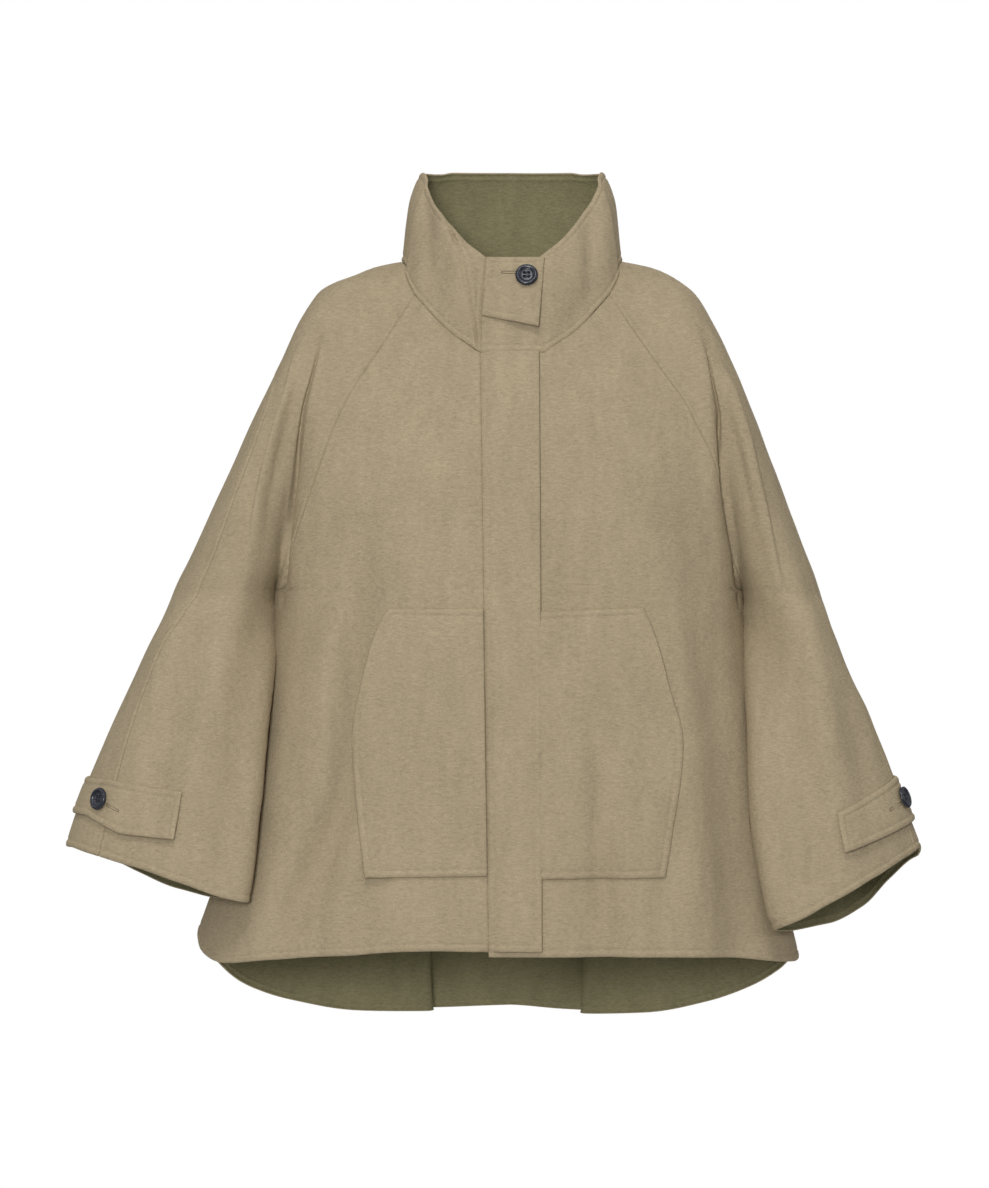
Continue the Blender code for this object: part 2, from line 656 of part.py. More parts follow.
def lay_patch(name, skins, cuts, material, collection):
    """A piece that lies on others: their outer faces, cut along planes and moved out. A cut is a
    point of the plane and the direction of what it removes."""
    ground = bmesh.new()
    numbers = {}
    for skin in skins:
        for face in skin.faces:
            corners = []
            for k in face:
                key = place(skin.points[k])
                if key not in numbers:
                    numbers[key] = ground.verts.new(key)
                corners.append(numbers[key])
            ground.faces.new(corners)
    for point, away in cuts:
        bmesh.ops.bisect_plane(
            ground, geom=ground.verts[:] + ground.edges[:] + ground.faces[:], dist=SNAP,
            plane_co=point, plane_no=away, clear_outer=True,
        )
    bmesh.ops.triangulate(ground, faces=ground.faces[:])
    ground.normal_update()
    ground.verts.index_update()
    base = np.array([vert.co[:] for vert in ground.verts])
    normal = np.array([vert.normal[:] for vert in ground.verts])
    faces = [tuple(vert.index for vert in face.verts) for face in ground.faces]
    rim = [
        (loop.vert.index, loop.link_loop_next.vert.index)
        for face in ground.faces for loop in face.loops if loop.edge.is_boundary
    ]
    ground.free()
    outer = base + (LIFT + CLOTH) * normal
    points, faces = wall_between(outer, base + LIFT * normal, base, faces, rim)
    return make_object(name, points, faces, material, collection)


def neck_line(fronts, underlap, back, sleeves):
    """The neckline, from the line of the placket round the back to the end of the underlap."""
    bottom = UPPER_ROWS.index(NECK_FRONT_Z) - UPPER_ROWS.index(RAGLAN_NECK_Z)
    front_top = UPPER_ROWS.index(RAGLAN_NECK_Z) + 1
    back_top = UPPER_ROWS.index(BACK_NECK_Z) + 1
    right = [row[0] for row in fronts[RIGHT][bottom::-1]]
    right += [row[0] for row in sleeves[RIGHT, FRONT][front_top - 1 :: -1]]
    right += [row[0] for row in sleeves[RIGHT, BACK][1:back_top]]
    left = [row[0] for row in sleeves[LEFT, BACK][back_top - 1 : 0 : -1]]
    left += [row[0] for row in sleeves[LEFT, FRONT][:front_top]]
    left += [row[0] for row in fronts[LEFT][: bottom + 1]]
    return np.array(right + list(back[0]) + left + list(underlap[0][-2::-1]))


def collar_rows(neck):
    """Rows of the stand collar, from the neckline to its upper edge."""
    middle = np.array([0, COLLAR_MIDDLE_Y])
    flat = neck[:, :2] - middle
    angle = np.degrees(np.arctan2(np.abs(flat[:, 0]), -flat[:, 1]))
    height = smooth_value(angle, COLLAR_HEIGHT)
    rows = []
    for share in COLLAR_ROWS:
        around = middle + flat * smooth_value(share, COLLAR_PROFILE)
        rows.append(np.column_stack([around, neck[:, 2] + height * share]))
    return rows


def upright_cut(start, end, kept):
    """A cut through two points given by x and z, straight through from front to back. It keeps the
    side of the third point."""
    along = np.array([end[0] - start[0], 0, end[1] - start[1]])
    away = unit(np.array([along[2], 0, -along[0]]))
    toward = np.array([kept[0] - start[0], 0, kept[1] - start[1]])
    return (start[0], 0, start[1]), away if away @ toward < 0 else -away


def pocket_cuts(side):
    sign = SIGN[side]
    outline = [(sign * x, z) for x, z in POCKET_OUTLINE[side]]
    top = [(0, POCKET_INNER_TOP_Z[side]), outline[0]]
    bottom = [outline[-1], (0, POCKET_INNER_HEM_Z[side])]
    inside = (sign * 80, -480)
    corners = [top, *zip(outline, outline[1:]), bottom]
    cuts = [upright_cut(start, end, inside) for start, end in corners]
    if side == LEFT:
        start = (PLACKET_EDGE_TOP_X + POCKET_GAP, NECK_FRONT_Z)
        end = (PLACKET_EDGE_HEM_X + POCKET_GAP, PLACKET_HEM_Z)
        cuts.append(upright_cut(start, end, inside))
    return cuts


def cuff_tab_cuts(side):
    """The cuff's tab runs round the sleeve's front and past its outer end."""
    sign = SIGN[side]
    inside = (sign * CUFF_TAB_MIDDLE[side][0], CUFF_TAB_MIDDLE[side][1])
    cuts = []
    for line in CUFF_TAB_LINES[side]:
        start, end = ((sign * x, z) for x, z in line)
        cuts.append(upright_cut(start, end, inside))
    middle, half, along, forward = sleeve_axes(side, CUFF_TAB_MIDDLE[side][1])
    end = middle + half * along - CUFF_TAB_WRAP * forward
    cuts.append(((sign * end[0], end[1], 0), (-sign * forward[0], -forward[1], 0)))
    return cuts


def surface_at(skin_object, x, z):
    """Where a line from the front first meets an object, and the mean direction that it faces there."""
    mesh = skin_object.data
    tree = BVHTree.FromPolygons([v.co[:] for v in mesh.vertices], [p.vertices[:] for p in mesh.polygons])
    hits = []
    for dx, dz in AIM_OFFSETS:
        start = Vector(((x + dx) * MM, -1, (z + dz) * MM))
        place_hit, normal, _, _ = tree.ray_cast(start, Vector((0, 1, 0)))
        hits.append((place_hit, normal))
    mean = sum((normal for place_hit, normal in hits if place_hit), Vector())
    return hits[0][0], mean.normalized()


def make_button(name, tab, x, z, material, collection, cutters):
    """A four-hole button with a raised rim, square on the tab that carries it."""
    middle, facing = surface_at(tab, x, z)
    offsets = [vert.co - middle for vert in tab.data.vertices]
    near = [offset for offset in offsets if offset.length < 2 * BUTTON_RADIUS * MM]
    rise = max([offset.dot(facing) for offset in near] + [0]) + BUTTON_GAP * MM
    turn = facing.to_track_quat("Z", "Y").to_matrix().to_4x4()
    stand = Matrix.Translation(middle + facing * rise) @ turn

    mesh = bpy.data.meshes.new(name)
    profile = [(r * BUTTON_RADIUS * MM, 0, h * BUTTON_HEIGHT * MM) for r, h in BUTTON_PROFILE]
    mesh.from_pydata(profile, [(i, i + 1) for i in range(len(profile) - 1)], [])
    mesh.materials.append(material)
    button = bpy.data.objects.new(name, mesh)
    collection.objects.link(button)
    button.matrix_world = stand
    turned = button.modifiers.new("turned", "SCREW")
    turned.steps = turned.render_steps = BUTTON_SIDES
    turned.use_merge_vertices = True
    turned.merge_threshold = 0.00001
    turned.use_normal_calculate = True

    drill = bmesh.new()
    for step in range(4):
        angle = math.radians(45 + 90 * step)
        spot = Vector((math.cos(angle), math.sin(angle), 0)) * BUTTON_HOLE_RING * MM
        bmesh.ops.create_cone(
            drill, cap_ends=True, segments=8, radius1=BUTTON_HOLE * MM, radius2=BUTTON_HOLE * MM,
            depth=4 * BUTTON_HEIGHT * MM, matrix=Matrix.Translation(spot),
        )
    drill_mesh = bpy.data.meshes.new(name + "_holes")
    drill.to_mesh(drill_mesh)
    drill.free()
    holes = bpy.data.objects.new(name + "_holes", drill_mesh)
    cutters.objects.link(holes)
    holes.matrix_world = stand
    holes.hide_render = True
    holes.display_type = "WIRE"
    cut = button.modifiers.new("holes", "BOOLEAN")
    cut.object = holes
    cut.operation = "DIFFERENCE"
    return button


def main():
    for old in list(bpy.data.objects):
        bpy.data.objects.remove(old)
    jacket = bpy.data.collections.new("a_line_jacket")
    cutters = bpy.data.collections.new("cutters")
    bpy.context.scene.collection.children.link(jacket)
    bpy.context.scene.collection.children.link(cutters)
    wool = make_material("double_faced_wool", (0.36, 0.29, 0.18), 0.95)
    horn = make_material("dark_button", (0.012, 0.013, 0.018), 0.35)

    fronts = {side: front_rows(side) for side in (RIGHT, LEFT)}
    underlap = underlap_rows(fronts[LEFT])
    back = back_rows()
    sleeves = {
        (side, face): sleeve_upper_rows(side, face) for side in (RIGHT, LEFT) for face in (FRONT, BACK)
    }

    skins = {
        "front_right": Skin("front_right").add_grid(fronts[RIGHT], True),
        "front_left": Skin("front_left").add_grid(fronts[LEFT], False).add_grid(underlap, False),
        "back": Skin("back").add_grid(back, True),
    }
    for (side, face), upper in sleeves.items():
        name = ("sleeve_front_" if face == FRONT else "sleeve_back_") + side
        turned = (side == RIGHT) == (face == FRONT)
        lower = sleeve_lower_rows(side, face, upper[-1])
        skins[name] = Skin(name).add_grid(upper, turned).add_grid(lower, turned)
    neck = neck_line(fronts, underlap, back, sleeves)
    skins["collar"] = Skin("collar").add_grid(collar_rows(neck), False)
    sew(list(skins.values()), wool, jacket)

    edge = [(PLACKET_EDGE_TOP_X, NECK_FRONT_Z), (PLACKET_EDGE_HEM_X, PLACKET_HEM_Z)]
    cuts = [upright_cut(*edge, (0, -400)), ((0, 0, PLACKET_HEM_Z), (0, 0, -1))]
    lay_patch("placket", [skins["front_left"]], cuts, wool, jacket)

    for side in (RIGHT, LEFT):
        lay_patch("pocket_" + side, [skins["front_" + side]], pocket_cuts(side), wool, jacket)

    lean = COLLAR_PROFILE[-1][1]
    slit_x = -PLACKET_TOP_X + UNDERLAP_SHORT / 2
    top_z = NECK_FRONT_Z + COLLAR_HEIGHT[0][1]
    middle = (0, COLLAR_TAB_LOW_Z[0])
    cuts = [
        upright_cut((slit_x, NECK_FRONT_Z), (slit_x * lean, top_z), middle),
        upright_cut((COLLAR_TAB_X, NECK_FRONT_Z), (COLLAR_TAB_X, top_z), middle),
        upright_cut((slit_x, COLLAR_TAB_LOW_Z[0]), (COLLAR_TAB_X, COLLAR_TAB_LOW_Z[1]), (0, top_z)),
        ((0, COLLAR_MIDDLE_Y, 0), (0, 1, 0)),
    ]
    tab = lay_patch("collar_tab", [skins["collar"]], cuts, wool, jacket)
    make_button("button_collar", tab, *BUTTON_COLLAR, horn, jacket, cutters)

    for side in (RIGHT, LEFT):
        sleeve = [skins["sleeve_front_" + side], skins["sleeve_back_" + side]]
        tab = lay_patch("cuff_tab_" + side, sleeve, cuff_tab_cuts(side), wool, jacket)
        x, z = BUTTON_CUFF[side]
        make_button("button_cuff_" + side, tab, SIGN[side] * x, z, horn, jacket, cutters)


if __name__ == "__main__":
    main()
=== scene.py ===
"""Looks of the a-line jacket: cloth shells on the form of the CAD's walls, buttons, finishes, light and
camera.

Sizes are in millimetres in the tables and metres in the scene. The frame is the CAD's: +Z is up, the
front faces -Y, "right" and "left" are the wearer's, and x in a table is a distance from the centre on
that side, except in the tables of folds, where it is the row frame's own.
"""

import logging
import math
from dataclasses import dataclass, field
from enum import Enum

import bpy
import numpy as np
from mathutils import Matrix, Vector


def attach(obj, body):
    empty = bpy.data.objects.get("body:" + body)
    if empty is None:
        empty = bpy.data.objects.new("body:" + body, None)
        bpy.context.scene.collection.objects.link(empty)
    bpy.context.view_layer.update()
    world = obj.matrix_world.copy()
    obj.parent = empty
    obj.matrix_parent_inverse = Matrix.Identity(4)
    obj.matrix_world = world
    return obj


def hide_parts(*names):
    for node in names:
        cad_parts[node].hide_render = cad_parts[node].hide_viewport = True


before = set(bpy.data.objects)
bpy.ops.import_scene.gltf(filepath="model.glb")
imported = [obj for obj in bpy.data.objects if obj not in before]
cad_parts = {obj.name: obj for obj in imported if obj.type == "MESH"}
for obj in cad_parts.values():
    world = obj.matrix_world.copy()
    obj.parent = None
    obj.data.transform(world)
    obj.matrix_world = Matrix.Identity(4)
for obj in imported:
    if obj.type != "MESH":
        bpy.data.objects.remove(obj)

LOG = logging.getLogger("jacket")
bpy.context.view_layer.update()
MM = 0.001


class Side(Enum):
    """A side of the wearer, with the sign of x there."""

    RIGHT = -1
    LEFT = 1

    @property
    def word(self) -> str:
        """The side's name in a piece's name."""
        return self.name.lower()


class Face(Enum):
    """The front or the back of the jacket."""

    FRONT = 1
    BACK = -1


class Border(Enum):
    """What a border of a grid of cloth is."""

    FREE = "turned in and stitched"
    SEAM = "sewn to another piece"
    NONE = "goes on in another grid"


@dataclass(frozen=True)
class Curve:
    """A value that passes smoothly through its points, with no overshoot."""

    points: tuple[tuple[float, float], ...]

    def __post_init__(self) -> None:
        """Works out the slope at each point."""
        rows = np.array(sorted(self.points), float)
        xs, ys = rows[:, 0], rows[:, 1]
        steps = np.diff(xs)
        slopes = np.diff(ys) / steps
        tangents = np.zeros(len(xs))
        tangents[0], tangents[-1] = slopes[0], slopes[-1]
        for i in range(1, len(xs) - 1):
            before, after = slopes[i - 1], slopes[i]
            if before * after > 0:
                near, far = 2 * steps[i] + steps[i - 1], steps[i] + 2 * steps[i - 1]
                tangents[i] = (near + far) / (near / before + far / after)
        for name, value in (("xs", xs), ("ys", ys), ("steps", steps), ("tangents", tangents)):
            object.__setattr__(self, name, value)

    def at(self, x: np.ndarray | float) -> np.ndarray:
        """The value at x, held level past either end.

        Args:
            x: one place or an array of them.

        Returns:
            An array of the same shape.
        """
        x = np.clip(np.asarray(x, float), self.xs[0], self.xs[-1])
        i = np.clip(np.searchsorted(self.xs, x) - 1, 0, len(self.xs) - 2)
        t = (x - self.xs[i]) / self.steps[i]
        rise = self.tangents[i] * t * (1 - t) ** 2 + self.tangents[i + 1] * t * t * (t - 1)
        level = self.ys[i] * (1 + 2 * t) * (1 - t) ** 2 + self.ys[i + 1] * t * t * (3 - 2 * t)
        return level + self.steps[i] * rise


class Table:
    """Curves by name, from rows whose first column is the height."""

    def __init__(self, columns: str, rows: tuple[tuple[float, ...], ...]) -> None:
        """Makes a curve of each column after the first.

        Args:
            columns: the names, with spaces between them.
            rows: a row for each height.
        """
        names = columns.split()
        self.curves = {
            name: Curve(tuple((row[0], row[i]) for row in rows)) for i, name in enumerate(names) if i
        }

    def at(self, name: str, z: np.ndarray | float) -> np.ndarray:
        """The value of a column at a height."""
        return self.curves[name].at(z)


BODY = Table("z right left front back", (
    (20, 100, 100, 30, 52), (0, 110, 110, 44, 58), (-20, 123, 122, 60, 66), (-40, 146, 143, 71, 74),
    (-65, 181, 178, 81, 82), (-100, 215, 213, 94, 92), (-150, 230, 227, 110, 103),
    (-200, 234, 229, 121, 111), (-260, 235, 229, 130, 117), (-330, 236, 230, 135, 121),
    (-390, 241, 234, 137, 125), (-450, 249, 240, 139, 129), (-510, 262, 247.5, 141, 134),
    (-570, 277, 258, 143, 139), (-630, 300, 271, 145, 144), (-680, 318, 284, 147, 149),
    (-730, 330, 296, 149, 154), (-790, 341, 308, 151, 160),
))
SLEEVE = Table("z in_right in_left in_y out_right out_left out_y front back fuller", (
    (0, 58, 58, 0, 111, 111, 0, 13, 13, 0), (-2, 60, 60, 0, 121, 122, 0, 17, 17, 0),
    (-6, 64, 64, 0, 138, 139, 0, 23, 23, 0), (-14, 74, 74, 0, 158, 157, 0, 32, 32, 0),
    (-22, 84, 84, 0, 178, 170, 0, 39, 39, 0), (-30, 96, 94, 0, 191, 180, 0, 45, 45, 0),
    (-40, 108, 107, 0, 199, 188, 0, 51, 51, 0), (-60, 130, 129, 0, 212, 200, 0, 60, 60, 0),
    (-100, 165, 164, 0, 231, 219, 0, 69, 69, 0), (-150, 184, 188, 0, 255, 240, -1, 76, 75, 0),
    (-200, 198, 199, 0, 278, 259, -3, 79, 77, 0), (-260, 211, 209, 0, 305, 281, -5, 81, 77, 0),
    (-300, 223, 219, 0, 323, 296, -6, 80, 75, 0), (-330, 236, 230, 0, 337, 308, -7, 79, 72, 0),
    (-345, 237.9, 232.4, -12, 342, 312.5, -11, 76, 73, 0.18),
    (-360, 238.9, 234, -26, 347, 315.5, -16, 72, 77, 0.36),
    (-390, 239.5, 236.2, -52, 358.7, 320, -21, 65, 83, 0.58),
    (-450, 243, 239, -79, 385.8, 344, -26, 58, 83, 0.6),
    (-510, 248, 240.3, -95, 412.5, 370, -29, 53, 80, 0.56),
    (-570, 253.5, 244, -106, 434.8, 395, -32, 49, 75, 0.5),
    (-640, 261.5, 253, -116, 458, 418, -35, 46, 65, 0.42),
    (-700, 270, 261, -121, 477, 436, -37, 45, 62, 0.36),
))
FINE = 160  # points of a section before it is divided into columns
FAR = 1000.0  # a distance past any border's reach


def power(value: np.ndarray, exponent: float) -> np.ndarray:
    """The power of a value's size, with the value's sign."""
    return np.sign(value) * np.abs(value) ** exponent


def bell(distance: np.ndarray) -> np.ndarray:
    """1 at the middle, falling softly to 0 about two widths away."""
    return np.exp(-0.5 * distance**2)


def lengths_along(points: np.ndarray) -> np.ndarray:
    """Length of a line up to each of its points."""
    return np.concatenate([[0], np.cumsum(np.linalg.norm(np.diff(points, axis=0), axis=1))])


def divide(points: np.ndarray, shares: np.ndarray) -> np.ndarray:
    """Points at these shares of a line's length."""
    lengths = lengths_along(points)
    at = np.asarray(shares, float) * lengths[-1]
    return np.stack([np.interp(at, lengths, points[:, k]) for k in range(3)], axis=1)


EDGE_STEPS = np.array([0, 0.7, 1.5, 2.5, 3.7, 4.8, 5.6, 6.4, 7.6, 9.6])


def spread(length: float, inner: int, start: bool = True, end: bool = True) -> np.ndarray:
    """Shares of a line that lie close together near the ends that have an edge.

    Args:
        length: the line's length.
        inner: how many steps its middle takes.
        start: whether the steps are close at the start.
        end: the same at the end.

    Returns:
        Shares from 0 to 1.
    """
    edge = EDGE_STEPS * min(1.0, 0.3 * length / EDGE_STEPS[-1])
    low = edge if start else np.zeros(1)
    high = length - (edge[::-1] if end else np.zeros(1))
    middle = np.linspace(low[-1], high[0], inner + 1)
    whole = np.concatenate([low[:-1], middle, high[1:]])
    return whole / max(length, 1e-9)


@dataclass(frozen=True)
class Cut:
    """Where the pieces of the jacket meet and end."""

    underarm: float = -330.0
    neck_front: float = -97.5
    raglan_neck: float = -37.5
    back_neck: float = -6.0
    placket_top_x: float = 31.0
    placket_hem_x: float = 23.0
    placket_edge_top_x: float = 25.0
    placket_edge_hem_x: float = 27.0
    placket_hem: float = -672.0
    body_round: float = 2.3
    sleeve_round: float = 2.1
    neckline: dict[Face, Curve] = field(default_factory=lambda: {
        Face.FRONT: Curve(((0, 110), (-2, 109.5), (-10, 107.5), (-19, 104.4), (-37.5, 95.8),
                           (-50, 85.7), (-66, 71.7), (-80, 56.5), (-90.5, 41), (-97.5, 31))),
        Face.BACK: Curve(((0, 110), (-2, 103), (-6, 84))),
    })
    raglan: dict[tuple[Side, Face], Curve] = field(default_factory=lambda: {
        (Side.RIGHT, Face.FRONT): Curve((
            (-37.5, 95.8), (-90, 127.8), (-138, 159), (-173, 175), (-216, 190), (-270, 209), (-300, 221),
            (-318, 229.5), (-330, 236))),
        (Side.LEFT, Face.FRONT): Curve((
            (-37.5, 95.8), (-71, 117), (-116, 148), (-147, 170), (-175, 183), (-201, 193), (-229, 203),
            (-275, 214), (-310, 223), (-330, 230))),
        (Side.RIGHT, Face.BACK): Curve((
            (-6, 84), (-60, 112), (-120, 148), (-180, 178), (-240, 201), (-290, 218), (-330, 236))),
        (Side.LEFT, Face.BACK): Curve((
            (-6, 84), (-60, 112), (-120, 148), (-180, 178), (-240, 199), (-290, 214), (-330, 230))),
    })
    top_seam_turn: dict[Side, Curve] = field(default_factory=lambda: {
        Side.RIGHT: Curve(((0, 0), (-95, 0), (-138, 44), (-200, 55), (-278, 60), (-368, 63), (-487, 66),
                           (-700, 69))),
        Side.LEFT: Curve(((0, 0), (-200, 0), (-260, 20), (-305, 33), (-455, 37), (-525, 44), (-700, 46))),
    })
    underarm_seam_turn: Curve = Curve(((0, 0), (-330, 0), (-400, 20), (-500, 38), (-700, 45)))
    armpit_fold: Curve = Curve(((0, 13), (-60, 20), (-100, 20), (-140, 13), (-200, 8), (-260, 5),
                                (-315, 3), (-330, 0)))
    cleft: dict[Side, Curve] = field(default_factory=lambda: {
        Side.RIGHT: Curve(((-101, 192.6), (-148, 202.3), (-204, 210), (-263, 217.8), (-301, 220.7),
                           (-328, 224))),
        Side.LEFT: Curve(((-91, 190.6), (-154, 200.3), (-204, 202.2), (-232, 205.1), (-263, 211),
                          (-294, 217.7), (-328, 221))),
    })
    hem: dict[Side, Curve] = field(default_factory=lambda: {
        Side.RIGHT: Curve(((0, -672), (12, -672), (28, -678), (45, -684), (60, -690), (72, -683),
                           (82, -671), (90, -667), (100, -677), (112, -702), (126, -732), (140, -752),
                           (156, -766), (168, -768), (180, -765))),
        Side.LEFT: Curve(((0, -677), (20, -678), (45, -682), (65, -690), (80, -693), (90, -692),
                          (100, -697), (112, -713), (126, -734), (140, -753), (156, -768), (168, -771),
                          (180, -765))),
    })
    cuff_edge: dict[Side, Curve] = field(default_factory=lambda: {
        Side.RIGHT: Curve(((-210, -578), (-180, -581), (-150, -593), (-120, -611), (-90, -625),
                           (-60, -630), (-30, -629.5), (0, -627.5), (30, -621), (60, -607.5),
                           (90, -593), (120, -583), (150, -578), (180, -581), (210, -593))),
        Side.LEFT: Curve(((-210, -580), (-180, -590), (-150, -616), (-120, -645), (-90, -659),
                          (-60, -661), (-30, -658), (0, -653), (30, -643), (60, -625), (90, -604),
                          (120, -587), (150, -580), (180, -590), (210, -616))),
    })

    def placket_x(self, z: np.ndarray | float) -> np.ndarray:
        """Distance of the placket's seam from the centre."""
        share = np.clip((self.neck_front - z) / (self.neck_front - self.placket_hem), 0, 1)
        return self.placket_top_x + (self.placket_hem_x - self.placket_top_x) * share

    def placket_edge(self, z: np.ndarray | float) -> np.ndarray:
        """Distance of the placket's free edge past the centre."""
        share = np.clip((self.neck_front - z) / (self.neck_front - self.placket_hem), 0, 1)
        return self.placket_edge_top_x + (self.placket_edge_hem_x - self.placket_edge_top_x) * share

    def cuff_z(self, side: Side, turn: np.ndarray) -> np.ndarray:
        """Height of the cuff's edge round the sleeve."""
        return self.cuff_edge[side].at((np.degrees(turn) + 180) % 360 - 180)


@dataclass(frozen=True)
class Pleat:
    """The deep pleat of the back, whose two edges fold over."""

    top: float = -330.0
    hem: float = -770.0
    depth: float = 28.0
    turn: float = 16.0
    overlap: float = 2.1
    right: float = 91.0
    left: float = 82.0


def growth(z: np.ndarray, top: float, low: float) -> np.ndarray:
    """0 above a fold's top, and 1 at its lower end."""
    return np.clip((top - z) / (top - low), 0, 1) ** 1.3


class Form:
    """The surface that the cloth lies on, as in the CAD."""

    TROUGHS = {
        Side.RIGHT: ((158, -340, 188, 20, 8), (104, -520, 121, 15, 5), (62, -540, 68, 13, 4)),
        Side.LEFT: ((80, -370, 88, 19, 6), (190, -480, 214, 16, 5)),
    }

    def __init__(self, cut: Cut, pleat: Pleat) -> None:
        """Keeps the sizes.

        Args:
            cut: where the pieces meet and end.
            pleat: the back's pleat.
        """
        self.cut = cut
        self.pleat = pleat

    def half(self, side: Side, z: np.ndarray | float) -> np.ndarray:
        """Half width of the body on one side."""
        return BODY.at(side.word, z)

    def front_y(self, x: np.ndarray, z: np.ndarray) -> np.ndarray:
        """y of the body's front at a place seen from the front, x in the row frame."""
        x, z = np.broadcast_arrays(np.asarray(x, float), np.asarray(z, float))
        y = np.zeros(x.shape)
        for side in Side:
            along = x * side.value
            share = np.clip(np.abs(x) / self.half(side, z), 0, 1)
            depth = BODY.at("front", z) * (1 - share**self.cut.body_round) ** (1 / self.cut.body_round)
            folded = -depth
            for top_x, top_z, hem_x, width, size in self.TROUGHS[side]:
                fall = np.clip((top_z - z) / (top_z - self.cut.placket_hem), 0, 1)
                middle = top_x + (hem_x - top_x) * fall
                grown = size * growth(z, top_z, self.cut.placket_hem)
                folded = folded + grown * bell((along - middle) / width)
            y = np.where(along >= 0, folded, y)
        return y

    def body(self, side: Side, face: Face, turn: np.ndarray, z: np.ndarray | float) -> np.ndarray:
        """Points of one side of the body.

        Args:
            side: the side.
            face: the front or the back.
            turn: 0 at that face's centre, a quarter circle at the side seam.
            z: the height of each point, or of all.

        Returns:
            Points whose x is the distance from the centre.
        """
        turn, z = np.broadcast_arrays(np.asarray(turn, float), np.asarray(z, float))
        depth = BODY.at(face.name.lower(), z)
        x = self.half(side, z) * power(np.sin(turn), 2 / self.cut.body_round)
        y = -face.value * depth * power(np.maximum(np.cos(turn), 0), 2 / self.cut.body_round)
        ease = np.clip(np.cos(turn) * 4, 0, 1)
        folded_x, folded_y = self._fold(side, face, x, y, z)
        return np.stack([x + (folded_x - x) * ease, y + (folded_y - y) * ease, z], axis=-1)

    def _fold(self, side: Side, face: Face, x: np.ndarray, y: np.ndarray, z: np.ndarray) -> tuple:
        """Adds a front's troughs, or the back's pleat."""
        if face is Face.FRONT:
            for top_x, top_z, hem_x, width, depth in self.TROUGHS[side]:
                fall = np.clip((top_z - z) / (top_z - self.cut.placket_hem), 0, 1)
                middle = top_x + (hem_x - top_x) * fall
                y = y + depth * growth(z, top_z, self.cut.placket_hem) * bell((x - middle) / width)
            return x, y
        pleat = self.pleat
        amount = growth(z, pleat.top, pleat.hem)
        across = (x - getattr(pleat, side.word)) / pleat.turn
        y = y + pleat.depth * amount * (1 / (1 + np.exp(1.9 * across)) - 0.45)
        return x - pleat.overlap * pleat.turn * amount * across * bell(across), y

    def turn_at(self, side: Side, x: float, z: float) -> float:
        """The turn at which the body's section reaches a distance from the centre."""
        share = np.clip(x / self.half(side, z), -1, 1)
        return float(np.arcsin(power(share, self.cut.body_round / 2)))

    def sleeve_axes(self, side: Side, z: np.ndarray | float) -> tuple:
        """Middle, half length, and unit vectors to the outer end and to the front of a section."""
        inner = np.stack([SLEEVE.at("in_" + side.word, z), SLEEVE.at("in_y", z)], axis=-1)
        outer = np.stack([SLEEVE.at("out_" + side.word, z), SLEEVE.at("out_y", z)], axis=-1)
        length = np.linalg.norm(outer - inner, axis=-1)
        along = (outer - inner) / length[..., None]
        forward = np.stack([along[..., 1], -along[..., 0]], axis=-1)
        return (inner + outer) / 2, length / 2, along, forward

    def sleeve(self, side: Side, turn: np.ndarray, z: np.ndarray | float) -> np.ndarray:
        """Points of a sleeve: turn is 0 at the inner end, a quarter circle in front, a half outside."""
        turn, z = np.broadcast_arrays(np.asarray(turn, float), np.asarray(z, float))
        middle, half, along, forward = self.sleeve_axes(side, z)
        u = -half * power(np.cos(turn), 2 / self.cut.sleeve_round)
        fuller = 1 - SLEEVE.at("fuller", z) * np.cos(turn)
        depth = np.where(np.sin(turn) > 0, SLEEVE.at("front", z), SLEEVE.at("back", z) * fuller)
        v = depth * power(np.sin(turn), 2 / self.cut.sleeve_round)
        flat = middle + u[..., None] * along + v[..., None] * forward
        return np.concatenate([flat, z[..., None]], axis=-1)

    def _inside_sleeve(self, side: Side, points: np.ndarray) -> tuple[np.ndarray, np.ndarray]:
        """Below 0 where a point is inside the sleeve's section, and its turn there."""
        middle, half, along, forward = self.sleeve_axes(side, points[:, 2])
        offset = points[:, :2] - middle
        u = (offset * along).sum(axis=1) / half
        v = (offset * forward).sum(axis=1)
        v = v / np.where(v > 0, SLEEVE.at("front", points[:, 2]), SLEEVE.at("back", points[:, 2]))
        level = np.abs(u) ** self.cut.sleeve_round + np.abs(v) ** self.cut.sleeve_round - 1
        turn = np.arctan2(power(v, self.cut.sleeve_round / 2), -power(u, self.cut.sleeve_round / 2))
        return level, turn

    def upper(self, side: Side, face: Face, z: float) -> tuple[np.ndarray, np.ndarray]:
        """One side of the section at a height above the underarm.

        Args:
            side: the side.
            face: the front or the back.
            z: the height.

        Returns:
            The line from the centre to the armpit fold, and on from there to the sleeve's top seam.
        """
        body = self.body(side, face, np.linspace(0, math.pi / 2, 6 * FINE), z)
        level, sleeve_turn = self._inside_sleeve(side, body)
        covered = np.where(level < 0)[0]
        last, start = len(body) - 1, 0.0
        if z > self.cut.underarm and len(covered):
            last = int(covered[0])
            start = abs(float(sleeve_turn[last]))
        end = math.pi - face.value * math.radians(float(self.cut.top_seam_turn[side].at(z)))
        arm = self.sleeve(side, face.value * np.linspace(start, end, 4 * FINE), z)
        line = np.concatenate([body[: last + 1], arm[1:]])
        return self._round_corner(line, last, float(self.cut.armpit_fold.at(z)))

